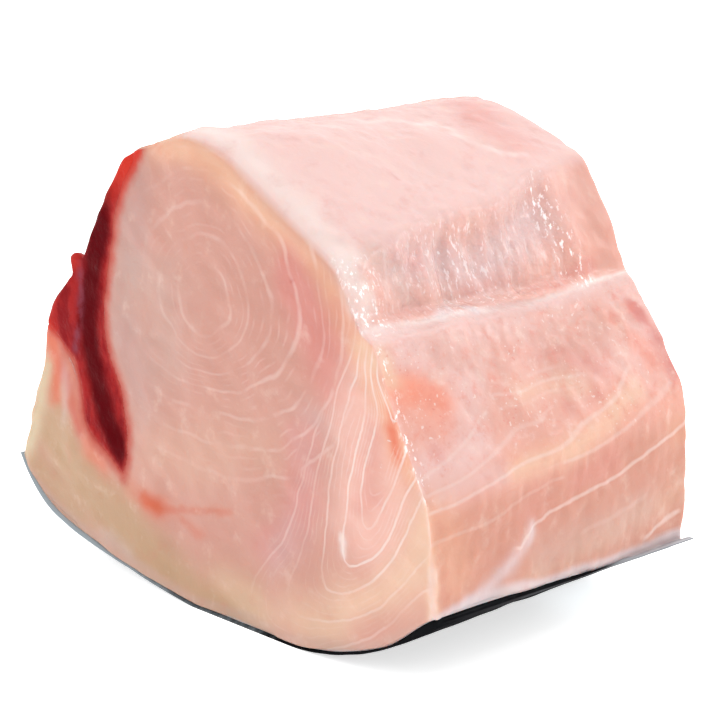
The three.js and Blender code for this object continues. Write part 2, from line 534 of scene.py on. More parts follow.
    @staticmethod
    def _run(start: np.ndarray, end: np.ndarray, spacing: float) -> np.ndarray:
        """Evenly spaced points from start up to, but not with, end."""
        length = np.linalg.norm(end - start, axis=-1).mean()
        count = max(1, round(length / spacing))
        t = (np.arange(count) / count)[:, None, None]
        return start + (end - start) * t

    def softness(self, outlines: np.ndarray) -> np.ndarray:
        """How far the edge round each cut face is rounded, at each point of the outline.

        The corners' values, carried round by distance: each point takes the average of all the
        corners, weighed by e to the minus square of its distance over the reach.

        Args:
            outlines: the outlines at share 0 and share 1.

        Returns:
            The rounding at the near and the far face for each point.
        """
        found = []
        for face, share in enumerate((0.0, 1.0)):
            total = np.full(outlines.shape[1], 1e-6)
            value = self.soft_usual * total
            for corner in self.corners:
                place = self.block.cut(glide(np.array([share]), corner.stops))[0]
                weight = bell(np.linalg.norm(outlines[face] - place, axis=1), self.soft_reach)
                total += weight
                value += weight * corner.soft[face]
            found.append(value / total)
        return np.stack(found)


# ---- Meshes


def add(name: str, data: bpy.types.ID) -> bpy.types.Object:
    """Puts a mesh, a light or a camera in the scene, at the origin."""
    made = bpy.data.objects.new(name, data)
    bpy.context.scene.collection.objects.link(made)
    return made


@dataclass
class Skinned:
    """A closed mesh: rows of points round a tube, with its two ends drawn together to a point.

    Attributes:
        rows: (x, y, z) for each row and each point round it, in millimetres.
        start, end: the two closing points.
    """

    rows: np.ndarray
    start: np.ndarray
    end: np.ndarray

    @classmethod
    def closed(cls, rows: np.ndarray) -> "Skinned":
        """A mesh whose closing points are the middles of its first and its last row."""
        return cls(rows, rows[0].mean(axis=0), rows[-1].mean(axis=0))

    def normals(self) -> np.ndarray:
        """Unit normals of the rows: the cross product of the way round and the way along."""
        round_ = np.roll(self.rows, -1, axis=1) - np.roll(self.rows, 1, axis=1)
        padded = np.concatenate(
            [np.broadcast_to(self.start, self.rows[:1].shape), self.rows,
             np.broadcast_to(self.end, self.rows[:1].shape)]
        )
        along = padded[2:] - padded[:-2]
        normal = unit(np.cross(round_, along))
        middle = (self.start + self.end) / 2
        outward = np.sum(normal * (self.rows - middle), axis=2).mean()
        return normal if outward > 0 else -normal

    def points(self) -> np.ndarray:
        """All the mesh's points: the start, the rows and the end."""
        return np.vstack([self.start[None], self.rows.reshape(-1, 3), self.end[None]])

    def spread(self, values: np.ndarray) -> np.ndarray:
        """Values for the rows' points, with each closing point taking its nearest row's mean."""
        grid = values.reshape(self.rows.shape[:2] + values.shape[1:])
        return np.concatenate([grid[:1].mean(axis=1), values, grid[-1:].mean(axis=1)])

    def build(self, name: str, layers: dict[str, np.ndarray]) -> bpy.types.Object:
        """Makes the mesh and its object.

        Args:
            name: the piece's name.
            layers: under each name a value for each of the rows' points, one row after another:
                one number, or three for a colour.

        Returns:
            The object, at the origin.
        """
        count, around = self.rows.shape[:2]
        last = 1 + count * around
        here = np.arange(around)
        after = (here + 1) % around
        base = (1 + around * np.arange(count - 1))[:, None]
        quads = np.stack(
            [base + here, base + after, base + around + after, base + around + here], axis=-1
        ).reshape(-1, 4)
        fan_start = np.stack([np.zeros(around, int), 1 + after, 1 + here], axis=1)
        top = 1 + (count - 1) * around
        fan_end = np.stack([np.full(around, last), top + here, top + after], axis=1)
        points = self.points() * MM
        if self._volume(points, quads) < 0:
            quads, fan_start, fan_end = quads[:, ::-1], fan_start[:, ::-1], fan_end[:, ::-1]
        mesh = bpy.data.meshes.new(name)
        loops = np.concatenate([quads.ravel(), fan_start.ravel(), fan_end.ravel()])
        sizes = np.r_[np.full(len(quads), 4), np.full(2 * around, 3)]
        mesh.vertices.add(len(points))
        mesh.vertices.foreach_set("co", points.astype(np.float32).ravel())
        mesh.loops.add(len(loops))
        mesh.loops.foreach_set("vertex_index", loops.astype(np.int32))
        mesh.polygons.add(len(sizes))
        mesh.polygons.foreach_set("loop_start", (np.cumsum(sizes) - sizes).astype(np.int32))
        mesh.polygons.foreach_set("loop_total", sizes.astype(np.int32))
        mesh.polygons.foreach_set("use_smooth", np.ones(len(sizes), bool))
        mesh.update(calc_edges=True)
        for layer, values in layers.items():
            self._write(mesh, layer, self.spread(values))
        if mesh.validate():
            log.warning("%s had faults in its mesh", name)
        log.info("%s: %d points, %d triangles", name, len(points), 2 * (len(quads) + around))
        return add(name, mesh)

    @staticmethod
    def _volume(points: np.ndarray, quads: np.ndarray) -> float:
        """Six times the volume that the quads close, below zero if they face inwards."""
        a, b, c, d = (points[quads[:, k]] for k in range(4))
        first = np.einsum("ij,ij->i", a, np.cross(b, c)).sum()
        return first + np.einsum("ij,ij->i", a, np.cross(c, d)).sum()

    @staticmethod
    def _write(mesh: bpy.types.Mesh, layer: str, values: np.ndarray) -> None:
        """Writes one layer of numbers or colours on the mesh's points."""
        if values.ndim == 1:
            attribute = mesh.attributes.new(layer, "FLOAT", "POINT")
            attribute.data.foreach_set("value", values.astype(np.float32))
            return
        attribute = mesh.color_attributes.new(layer, "FLOAT_COLOR", "POINT")
        colours = np.c_[values, np.ones(len(values))].astype(np.float32)
        attribute.data.foreach_set("color", colours.ravel())


# ---- Colours


# How much brighter than its reflectance a surface shows in the studio.
DAYLIGHT = 1.75


def linear(red: float, green: float, blue: float) -> np.ndarray:
    """Linear light of a display colour given as 0 to 255."""
    share = np.array([red, green, blue]) / 255.0
    return np.where(share <= 0.04045, share / 12.92, ((share + 0.055) / 1.055) ** 2.4)


def reflectance(red: float, green: float, blue: float) -> np.ndarray:
    """How much light a surface gives back that shows as a display colour in the studio."""
    return linear(red, green, blue) / DAYLIGHT


class Tone(Enum):
    """Named colours of the fish, as display colours from 0 to 255."""

    ROSE = (224, 166, 150)
    BLUSH = (243, 204, 198)
    SALMON = (243, 180, 163)
    PEACH = (218, 155, 135)
    APRICOT = (251, 190, 155)
    CREAM = (250, 211, 182)
    BUTTER = (233, 210, 176)
    BEIGE = (208, 170, 134)
    ASHEN = (214, 180, 168)
    DUSK = (206, 160, 150)
    SHELL = (252, 200, 186)
    EMBER = (252, 158, 130)
    PINK = (230, 146, 136)
    LILAC = (228, 194, 192)
    MILK = (252, 232, 226)
    PEARL = (236, 218, 220)
    CORAL = (242, 130, 100)
    RED = (204, 84, 76)
    RUST = (224, 104, 66)

    @property
    def light(self) -> np.ndarray:
        """The colour as a reflectance."""
        return reflectance(*self.value)


@dataclass(frozen=True)
class Stroke:
    """A soft-edged stroke or spot of colour on the muscle.

    Attributes:
        tone: its colour.
        places: along it; (across, up) colours the cut faces, (across, share, up) the others.
        reach: millimetres from it to where it has faded to about a third.
        strength: how much of the colour it lays on, 0 to 1.
        ragged: millimetres that its edge wanders.
        turns: whether it turns from the near cut face onto the faces beside it.
    """

    tone: Tone
    places: Places
    reach: float
    strength: float
    ragged: float = 1.0
    turns: bool = False


STROKES = (
    # An apricot border, with a cream line, round the top right of each cut face.
    Stroke(Tone.APRICOT, ((-24, 95), (-8, 96.5), (6, 94), (17, 89), (32, 83.5), (45, 79),
           (55, 74.5), (61, 70), (65, 64)), 6, 0.75, 1.5),
    Stroke(Tone.CREAM, ((-18, 96), (0, 96), (12, 92), (26, 87), (46, 80)), 3, 0.3),
    # The ashen flesh beside the blood line, and the rosy flesh on the other side of the rings.
    Stroke(Tone.DUSK, ((-29, 87), (-34, 77), (-37, 69)), 9, 0.85, 2),
    Stroke(Tone.ASHEN, ((-38, 66), (-40, 62), (-40, 56)), 10, 0.6, 2),
    Stroke(Tone.DUSK, ((-40, 54), (-35, 46), (-30, 38)), 10, 0.7, 2),
    Stroke(Tone.ASHEN, ((-20, 66), (-18, 52)), 14, 0.5, 2),
    Stroke(Tone.PINK, ((38, 74), (47, 70), (54, 62), (56, 54)), 9, 0.75, 3),
    Stroke(Tone.PINK, ((60, 70), (61, 62), (60, 55)), 4, 0.35, 2),
    Stroke(Tone.PINK, ((48, 30), (44, 25), (38, 22), (31, 20)), 6, 0.5, 3),
    Stroke(Tone.LILAC, ((52, 46), (48, 36), (42, 27), (35, 17)), 7, 0.45, 3),
    # The fan below the ledge: bright pink between its lines, cream below them.
    Stroke(Tone.SHELL, ((70, 56), (68, 42), (66, 30), (76, 26), (84, 38), (78, 52)), 11, 0.85,
           1.5),
    Stroke(Tone.MILK, ((62.5, 25.8), (62.6, 23.2), (63.2, 22)), 1.3, 0.9, 0.3),
    Stroke(Tone.APRICOT, ((70, 62), (76, 56), (84, 47), (90, 40)), 5, 0.7, 1.5),
    Stroke(Tone.PINK, ((77, 48), (74, 40), (70, 33), (76, 35)), 4, 0.3, 1.5),
    Stroke(Tone.CREAM, ((44, 5), (56, 6), (66, 12), (80, 17), (92, 24), (97, 33)), 9, 0.75, 2),
    Stroke(Tone.CREAM, ((70, 63), (75, 61)), 4, 0.6),
    Stroke(Tone.CORAL, ((81.4, 50.6), (83.4, 46.8), (84, 44)), 2.6, 0.9, 0.8),
    # The white line along the upright corner, widest at its foot: partly the corner's own pale
    # line, partly a painted highlight on the edge.
    Stroke(Tone.MILK, ((74.9, 64.4), (80, 58), (87.2, 47.8), (92, 42.4), (96.2, 37.2)), 0.9, 0.85,
           0.3, turns=True),
    Stroke(Tone.CREAM, ((96.4, 36), (98.2, 28), (98.9, 18), (98.9, 15)), 2.2, 0.7, 0.4,
           turns=True),
    Stroke(Tone.MILK, ((96, 37), (97.6, 31), (98.6, 24), (99.2, 15)), 0.9, 0.6, 0.3, turns=True),
    Stroke(Tone.MILK, ((92.6, 42), (93.4, 40.6), (94.6, 39)), 1.8, 0.8, 0.5, turns=True),
    # The belly side: cream and butter, with orange and pearl streaks beside the blood line.
    Stroke(Tone.BEIGE, ((-84, 27), (-72, 18), (-58, 13), (-42, 9), (-22, 5), (0, 3), (18, 2)), 11,
           0.95, 2),
    Stroke(Tone.BEIGE, ((-60, 22), (-46, 15), (-28, 9)), 8, 0.8, 2),
    Stroke(Tone.CREAM, ((8, 7), (20, 5), (34, 4)), 7, 0.5, 2),
    Stroke(Tone.BEIGE, ((-78, 42), (-77, 32), (-70, 24)), 9, 0.8),
    Stroke(Tone.BEIGE, ((-97, 21), (-90, 17), (-80, 12.5), (-68, 9.5)), 7, 0.8),
    Stroke(Tone.BUTTER, ((-85, 42), (-89, 32), (-95, 25), (-98, 20)), 4.5, 0.9),
    Stroke(Tone.CORAL, ((-84, 50), (-78, 45), (-72, 40), (-69, 33), (-63, 27.5), (-53, 23.5)), 4.8,
           0.62, 1.5),
    Stroke(Tone.CORAL, ((-80, 48), (-78, 41), (-79.5, 35.5)), 3.6, 0.85, 0.8),
    Stroke(Tone.RUST, ((-79.5, 47), (-79, 41), (-80, 36)), 3, 0.3, 0.8),
    Stroke(Tone.RED, ((-75.5, 45), (-71.5, 39.5), (-69, 34), (-65.5, 29.5)), 2.8, 0.45, 0.8),
    # The belly's own flank: coral under the blood line, then cream and rose down to the skin.
    Stroke(Tone.CORAL, ((-84, 0, 49), (-85, 0.3, 47.5), (-84, 0.5, 49), (-85, 0.75, 47),
           (-84, 1, 49)), 5, 0.5, 3),
    Stroke(Tone.BUTTER, ((-88, 0, 37), (-89, 0.35, 34), (-88, 0.6, 38), (-90, 1, 33)), 7, 0.6, 3),
    Stroke(Tone.SALMON, ((-93, 0.1, 29), (-91, 0.3, 32), (-93, 0.42, 28)), 8, 0.4, 3),
    Stroke(Tone.SALMON, ((-89, 0.66, 36), (-92, 0.85, 30)), 9, 0.4, 3),
    Stroke(Tone.BLUSH, ((-97, 0, 22), (-97, 0.5, 21), (-97, 1, 22)), 4, 0.45, 2),
    Stroke(Tone.PEARL, ((-74, 42), (-74, 37), (-75, 31)), 2.4, 0.3, 0.8),
    Stroke(Tone.PEARL, ((-55, 8), (-48, 6.5), (-40, 5.4)), 3, 0.25),
    # The rust-red streak at the foot of the blood line.
    Stroke(Tone.CORAL, ((-38, 20.5), (-30, 18.6), (-20, 18.6)), 4.5, 0.35, 1.5),
    Stroke(Tone.RUST, ((-30.5, 19.2), (-25, 18.3)), 3.4, 0.9, 0.6),
    Stroke(Tone.RUST, ((-29, 18.4), (-22, 18), (-12, 19.4), (0, 21.2), (12, 22.8)), 1.4, 0.4, 0.5),
    Stroke(Tone.RUST, ((-13, 17.2), (-2, 15.6)), 2, 0.35, 0.6),
    Stroke(Tone.RED, ((40.2, 73.2),), 0.9, 0.8, 0.2),
    # The top: a faint swelling behind, pale seams, one red dot, and a painted highlight along its
    # near edge.
    Stroke(Tone.PINK, ((8, 0.9, 99.5), (26, 0.84, 96), (38, 0.83, 93)), 9, 0.4),
    Stroke(Tone.MILK, ((17, 0.65, 97), (18, 0.71, 97), (27, 0.71, 94.6), (34, 0.72, 92.6),
           (41, 0.75, 90.8), (45.3, 0.815, 90)), 1.6, 0.6),
    Stroke(Tone.MILK, ((6.6, 0.52, 98.2), (8, 0.6, 98.2), (14.5, 0.635, 97.3), (21, 0.633, 95.8)),
           1.6, 0.5),
    # Painted highlight: a white band along the top's near edge and down the near end of the ridge,
    # where the rounded edge would catch the light.
    Stroke(Tone.MILK, ((-22, 0.04, 97.6), (-8, 0.04, 99.6), (10, 0.04, 97.4), (25, 0.04, 92),
           (42, 0.04, 85.6), (59, 0.04, 78.6)), 5.5, 0.8),
    Stroke(Tone.MILK, ((59.5, 78.4), (62.5, 75), (65.5, 70.8)), 3, 0.6, 1, turns=True),
    Stroke(Tone.RED, ((39.3, 0.362, 88.8),), 0.9, 0.5),
    # The scoop: peach and a painted highlight at its near end, lilac in its depth that is partly
    # painted shade, red in the hollows along its foot.
    # Lilac in the scoop's depth: partly the flesh's own tone, partly painted shade in the hollow.
    Stroke(Tone.LILAC, ((62, 0.2, 76), (62, 0.35, 76), (64, 0.48, 73), (62, 0.6, 76),
           (60, 0.72, 80)), 10, 0.8),
    Stroke(Tone.PINK, ((68.6, 0.13, 67.6), (68, 0.2, 68.6), (69.6, 0.26, 67)), 2.2, 0.4, 0.8),
    Stroke(Tone.PINK, ((68.5, 0.64, 68), (70.2, 0.73, 67.2), (68.6, 0.8, 69), (68.8, 0.86, 69.6)),
           2.6, 0.5),
    Stroke(Tone.ASHEN, ((60, 0.12, 79.5), (63, 0.18, 75.5), (66, 0.2, 71)), 5, 0.5),
    Stroke(Tone.PINK, ((60.5, 0.21, 77.8), (61.5, 0.27, 76.4)), 3.5, 0.45),
    Stroke(Tone.PINK, ((67.4, 0.42, 69.4), (66.4, 0.55, 70.6)), 3, 0.35),
    Stroke(Tone.ROSE, ((55, 0.97, 86), (62, 0.94, 78), (68, 0.93, 71)), 7, 0.75),
    # Painted highlight: white down the scoop's near end, where its wet edge catches the light.
    Stroke(Tone.MILK, ((60.5, 0.03, 78.6), (64, 0.04, 73), (66, 0.04, 70), (69, 0.02, 66.4)), 4,
           0.8),
    # The white lip of the ledge.
    Stroke(Tone.MILK, ((69.6, 0, 66.4), (70.2, 0.1, 66.4), (70.6, 0.23, 66), (70.8, 0.39, 66),
           (72.6, 0.46, 65.5), (72.6, 0.6, 65.5), (71.8, 0.7, 65.9), (71.2, 0.84, 66.4),
           (71, 1, 67)), 1.2, 0.8, 0.3),
    Stroke(Tone.PEARL, ((70.5, 0.26, 66.2), (67.9, 0.35, 68), (70.8, 0.39, 66.2)), 1.5, 0.8, 0.4),
    # The shoulder: pale towards the near face, rosier behind, with an orange patch.
    Stroke(Tone.BLUSH, ((74, 0.02, 64), (76, 0.12, 62.5), (79, 0.2, 60.5), (81, 0.3, 58.5)), 9,
           0.8, 2.5),
    Stroke(Tone.BLUSH, ((85, 0.24, 54), (88, 0.22, 50.5), (91, 0.18, 47), (93, 0.05, 44.5)), 7.5,
           0.75, 2),
    Stroke(Tone.DUSK, ((77, 0.5, 62.5), (80, 0.62, 60), (84, 0.55, 56.5), (83, 0.72, 58)), 11,
           0.26, 3),
    Stroke(Tone.EMBER, ((83.4, 0.07, 55.4), (85, 0.11, 53.8), (86.2, 0.11, 52.4)), 7, 0.74, 3),
    Stroke(Tone.EMBER, ((85.9, 0.145, 52.8),), 5, 0.5, 2),
    Stroke(Tone.CORAL, ((84, 0.07, 54.8), (84.6, 0.09, 54.2)), 2.6, 0.4, 1.5),
    Stroke(Tone.CORAL, ((85.4, 0.13, 53.3), (86.6, 0.14, 52)), 2.2, 0.4, 1.5),
    Stroke(Tone.BLUSH, ((74, 0.1, 64), (75, 0.3, 63.4), (76, 0.5, 62.6)), 5, 0.6, 2),
    Stroke(Tone.RED, ((92.3, 0.08, 45.6), (91, 0.1, 47.4)), 2.4, 0.3, 1.5),
    Stroke(Tone.RED, ((83.2, 0.56, 56.5), (85.4, 0.66, 54.6)), 4, 0.28, 3),
    Stroke(Tone.RED, ((85.3, 0.7, 54.9), (88, 0.72, 52.4)), 3.6, 0.26, 3),
    Stroke(Tone.RED, ((92.4, 0.666, 47.9),), 2.6, 0.35, 1.5),
    Stroke(Tone.RED, ((93.4, 0.547, 46.3),), 2.2, 0.35, 1.5),
    Stroke(Tone.RED, ((96.5, 0.525, 42.2),), 1.4, 0.45, 0.8),
    Stroke(Tone.CORAL, ((85.2, 0.336, 54.1),), 2.4, 0.4, 1.2),
    Stroke(Tone.RED, ((79.2, 0.93, 60.5), (84, 0.96, 56.6), (88.6, 0.98, 52.6),
           (92.4, 0.99, 48.9)), 3.4, 0.6, 2),
    Stroke(Tone.CORAL, ((80, 0.84, 60), (84, 0.88, 56.6), (88, 0.9, 52.8)), 4.5, 0.35, 3),
    Stroke(Tone.CREAM, ((88, 0.42, 51.2), (88.4, 0.52, 51.2), (89.8, 0.63, 50.2)), 4.2, 0.45, 1.5),
    # The rosy flesh round that patch.
    Stroke(Tone.PEACH, ((80, 0.2, 60), (82, 0.35, 58), (90, 0.3, 49), (93, 0.5, 46),
           (84, 0.62, 56), (80, 0.8, 60)), 8, 0.35, 3),
    Stroke(Tone.BLUSH, ((94.6, 0.05, 42.4), (94.6, 0.13, 42.4), (92.6, 0.22, 45)), 5, 0.75),
    Stroke(Tone.SALMON, ((98.2, 0.05, 37), (98.2, 0.3, 37.6), (97, 0.5, 40), (95, 0.7, 45)), 6,
           0.6),
    # The lower face: peach and cream, with a pale band of fat above the skin.
    Stroke(Tone.CREAM, ((97.6, 0.3, 38.6), (97.6, 0.5, 39.6), (96.4, 0.66, 42.4),
           (93.4, 0.8, 47.4)), 4.2, 0.6, 0.6),
    Stroke(Tone.BLUSH, ((97.2, 0.06, 38), (97.2, 0.14, 38.6), (97.3, 0.24, 39.2)), 4.4, 0.65),
    Stroke(Tone.BUTTER, ((98.8, 0.28, 13), (98.6, 0.42, 17), (98.4, 0.6, 18.5), (98.2, 0.8, 21),
           (98.2, 0.97, 24)), 6, 0.16, 1.5),
    Stroke(Tone.ASHEN, ((98.6, 0.42, 19), (98.2, 0.6, 21), (98, 0.8, 23)), 8, 0.42),
    Stroke(Tone.PINK, ((98.6, 0.55, 33.4), (98.6, 0.68, 35.6)), 5, 0.3, 2),
    Stroke(Tone.PINK, ((98.8, 0.3, 29), (98.8, 0.42, 31)), 6, 0.2, 2),
    Stroke(Tone.APRICOT, ((99, 0.04, 33), (99.2, 0.08, 22)), 9, 0.35),
    Stroke(Tone.APRICOT, ((98.4, 0.95, 37),), 8, 0.3),
    Stroke(Tone.PEARL, ((99.2, 0.12, 15), (99.1, 0.22, 18), (98.9, 0.31, 22.5),
           (98.8, 0.36, 25.8)), 2.8, 0.62, 0.8),
    Stroke(Tone.CREAM, ((75, 0.02, 63.4), (77, 0.03, 61.4), (80, 0.02, 58.6)), 3.4, 0.6),
    Stroke(Tone.APRICOT, ((87, 48.6), (88.4, 46.4)), 2.6, 0.6, 0.6),
    Stroke(Tone.SALMON, ((86.4, 0.1, 52.2), (88.4, 0.1, 50), (90.2, 0.1, 48)), 4.6, 0.5, 2),
    # The middle of the cut faces, a little creamier low down and rosier beside the fan.
    Stroke(Tone.CREAM, ((-24, 30), (-8, 29), (10, 34), (22, 38)), 12, 0.24, 3),
    Stroke(Tone.PINK, ((46, 42), (45, 36), (42, 29)), 7, 0.42, 3),
    Stroke(Tone.DUSK, ((-42, 63), (-42, 52), (-37, 43)), 6, 0.4, 2),
    Stroke(Tone.CORAL, ((-85.5, 0.02, 47), (-87, 0.05, 44)), 4, 0.4, 1.5),
)


def blend(first: np.ndarray, second: np.ndarray, weight: np.ndarray) -> np.ndarray:
    """The second colour laid over the first, by one weight for each row."""
    return first * (1 - weight[:, None]) + second * weight[:, None]


@dataclass(frozen=True)
class Colouring:
    """Lays the strokes over a tone for each way a face turns, which is partly painted light and
    shade.

    Attributes:
        block: the box that the strokes' places are measured from.
        underside: the skin, for the pale fat just above it.
        skin: height above the skin's lower surface at which that fat starts.
        fat: height of the fat.
        carry: how far the cut faces' colours are carried round onto the left flank.
        shade: how much darker the cut faces are painted away from the upright corner, a painted
            shade as though they were less lit.
        waviness: wavelength of a stroke's ragged edge, as so many times its reach.
        first_seed: fixes the first stroke's edge; each stroke after it takes the next number.
    """

    block: Block
    underside: Underside
    skin: float = 1.5
    fat: float = 5.0
    carry: float = 7.0
    shade: float = 0.11
    waviness: float = 3.2
    first_seed: int = 100

    def tint(self, places: np.ndarray, normals: np.ndarray) -> np.ndarray:
        """The muscle's colour in linear light.

        Args:
            places: one per row.
            normals: the surface's outward unit normals there.

        Returns:
            One colour per place.
        """
        across, share, up = self.block.measured(places)
        ends = np.minimum(share, 1 - share) * self.block.length
        slant = np.maximum(np.hypot(normals[:, 0], normals[:, 2]), 1e-6)
        rightward, upward = normals[:, 0] / slant, normals[:, 2] / slant
        right = ease(0.2, 0.9, rightward)
        facing = ease(0.75, 0.97, np.abs(normals[:, 1]))
        facing = facing + (1 - facing) * ease(0.1, -0.3, rightward) * bell(ends, self.carry)
        # Each way a face turns gets its own tone, partly the flesh's own colour and partly painted
        # light: faces turned up are paler, as though lit from above.
        colour = blend(Tone.BEIGE.light, Tone.PEACH.light, right)
        colour = blend(colour, Tone.SALMON.light, ease(36, 44, up) * right)
        colour = blend(colour, Tone.BLUSH.light, ease(0.35, 0.8, upward))
        colour = blend(colour, Tone.ROSE.light, facing)
        for number, stroke in enumerate(STROKES):
            colour = self._lay(stroke, number, colour, places, facing)
        over = places[:, 2] - self.underside.height(places[:, 0], share) - self.skin
        wander = 0.5 * Ripples(24.0, 7).at(places)
        deep = self.fat * (1.0 + 0.5 * bell(share - 0.2, 0.16) * (1 - facing))
        fat = ease(1.0, 0.4, (over + wander) / deep) * (0.85 - 0.4 * facing)
        colour = blend(colour, blend(Tone.PEARL.light, Tone.ASHEN.light, facing), fat)
        # Painted shade: the cut faces are darkened as though less lit, least beside the upright
        # corner.
        shade = self.shade * facing * (1 - 0.6 * ease(56.0, 72.0, across))
        return colour * (1 - shade[:, None])

    def _lay(self, stroke: Stroke, number: int, colour: np.ndarray, places: np.ndarray,
             facing: np.ndarray) -> np.ndarray:
        """Lays one stroke over the colour so far, and gives the new colour."""
        path = self.block.spots(stroke.places)
        points = places.copy()
        seen = 1 - facing
        if stroke.turns:
            seen = np.ones(len(facing))
        elif len(stroke.places[0]) == 2:
            seen = facing
            points[:, 1] = path[0, 1]
        low, high = path.min(axis=0) - 3 * stroke.reach, path.max(axis=0) + 3 * stroke.reach
        near = (seen > 0.01) & np.all((points >= low) & (points <= high), axis=1)
        if not near.any():
            return colour
        away = path_distance(points[near], path)
        edge = Ripples(self.waviness * max(stroke.reach, 1.5), self.first_seed + number)
        away = np.maximum(away + stroke.ragged * edge.at(places[near]) * 0.7, 0.0)
        weight = np.zeros(len(places))
        weight[near] = stroke.strength * bell(away, stroke.reach) * seen[near]
        return blend(colour, stroke.tone.light, weight)


# ---- The lines of connective tissue


@dataclass(frozen=True)
class Rings:
    """The muscle's growth rings on the cut faces: nested closed lines round one centre.

    Attributes:
        block: the box they are measured from.
        centre: (across, up) of the middle.
        right, top, left, bottom: how far out each ring is, in millimetres, in those directions.
    """

    block: Block
    centre: Pair = (0.6, 65.4)
    right: tuple[float, ...] = (0, 13.7, 22.6, 32.2, 45.0, 56.8, 65.5, 74, 84, 94, 104)
    top: tuple[float, ...] = (0, 12.3, 21.5, 31.4, 42.7, 53.0, 63.0, 73, 83, 93, 103)
    left: tuple[float, ...] = (0, 13.0, 23.0, 33.0, 43.5, 54.0, 65.0, 76, 87, 98, 109)
    bottom: tuple[float, ...] = (0, 11.5, 18.5, 24.0, 29.5, 37.0, 47.6, 58, 68.5, 79, 90)

    def level(self, points: np.ndarray) -> np.ndarray:
        """The ring number at each (x, z), whole on the rings.

        In each of the four directions the distance from the centre is read off against that
        direction's rings; the four readings are averaged, weighed by the squared cosine of the
        angle to each direction.
        """
        away = points - self.block.cut(self.centre)
        far = np.linalg.norm(away, axis=1)
        way = away / np.maximum(far, 1e-6)[:, None]
        numbers = np.arange(len(self.right))
        total = np.zeros(len(points))
        for axis, sign, rings in ((0, 1, self.right), (1, 1, self.top), (0, -1, self.left),
                                  (1, -1, self.bottom)):
            weight = np.maximum(sign * way[:, axis], 0.0) ** 2
            total += weight * np.interp(far, rings, numbers)
        return total

    def strength(self, points: np.ndarray) -> np.ndarray:
        """How clear the rings are: clearest to the right, gone towards the blood line."""
        across, up = self.block.across(points[:, 0]), self.block.up(points[:, 1])
        level = self.level(points)
        drawn = ease(-36, -8, across) * ease(8.6, 6.4, level) * ease(0.35, 0.95, level)
        return drawn * (0.55 + 0.45 * ease(0, 40, across)) * (1 - 0.45 * ease(44, 28, up))


@dataclass(frozen=True)
class Line:
    """One line of connective tissue.

    Attributes:
        level: its whole number in its family, or a part of one between two lines.
        places: along it; (across, up) on a cut face, (across, share, up) elsewhere.
        strength: how white it is, 0 to 1.
    """

    level: float
    places: Places
    strength: float = 1.0


@dataclass(frozen=True)
class Family:
    """Lines that run side by side, as the levels of one smooth field.

    Attributes:
        lines: the lines.
        reach: how far from a line, in millimetres, the family's marks fade out.
    """

    lines: tuple[Line, ...]
    reach: float

    def field(self, block: Block, points: np.ndarray) -> tuple[np.ndarray, np.ndarray, np.ndarray]:
        """The family's field.

        Args:
            block: the box that the lines are measured from.
            points: (x, z) on a cut face or (x, y, z), as the lines' places are.

        Returns:
            The level, the millimetres that one level spans, and the strength, at each point.
        """
        samples, levels, strength = [], [], np.zeros(len(points))
        for line in self.lines:
            given = (block.cut if points.shape[1] == 2 else block.spots)(line.places)
            spots = curve(given, max(4, 2 * len(given)))
            samples.append(spots)
            levels.append(np.full(len(spots), line.level))
            close = ease(self.reach, 0.45 * self.reach, path_distance(points, spots))
            strength = np.maximum(strength, line.strength * close)
        level, pitch = LevelField(np.vstack(samples), np.concatenate(levels)).at(points)
        return level, np.clip(pitch, 0.5, 30.0), strength


FAN = Family((
    Line(0, ((82.4, 49.6), (80.6, 46), (78.6, 42.4), (77.4, 39.6))),
    Line(1, ((73, 58), (76.2, 52.4), (74.6, 46.5), (72.2, 40.4), (70.6, 34.6), (70.6, 31),
         (71.8, 29.2), (74.4, 29.4), (77.4, 31.8), (82.1, 37.4), (85.7, 43.2), (88.4, 48))),
    Line(2, ((70.6, 60), (71.7, 51), (68.9, 44.4), (65.5, 35.8), (63.9, 29), (62.7, 24),
         (63.2, 21.2), (65.6, 20.4), (69.9, 21.2), (75.6, 23.7), (80.3, 27.2), (84.9, 33.3),
         (88.5, 38.3), (92.4, 42.6))),
    Line(3, ((69.1, 65), (67.9, 60.3), (66.2, 55.5), (63.4, 50.6), (60.6, 44.4), (57.6, 37),
         (56, 30), (54.4, 22), (53.4, 16.4), (55.6, 13.6), (62, 14), (71.8, 17), (81.2, 23.2),
         (88.4, 30.8), (94.6, 39)), 0.55),
    Line(3.5, ((60, 48), (56, 40.6), (52.6, 31.5), (49.6, 21), (47.4, 12.6), (50.6, 10.2),
         (57.1, 10.4), (64, 11.6), (73, 14.4), (83, 20.4), (91, 27.6), (97, 34.6)), 0.4),
    Line(4.5, ((52.1, 42.8), (47.6, 34), (43, 25), (38, 17.4), (30.4, 11.4), (27.6, 6.5),
         (31, 2.6), (42, 2), (58, 4.6), (75.6, 10.3), (92.3, 20.6)), 0.35),
), 9.0)

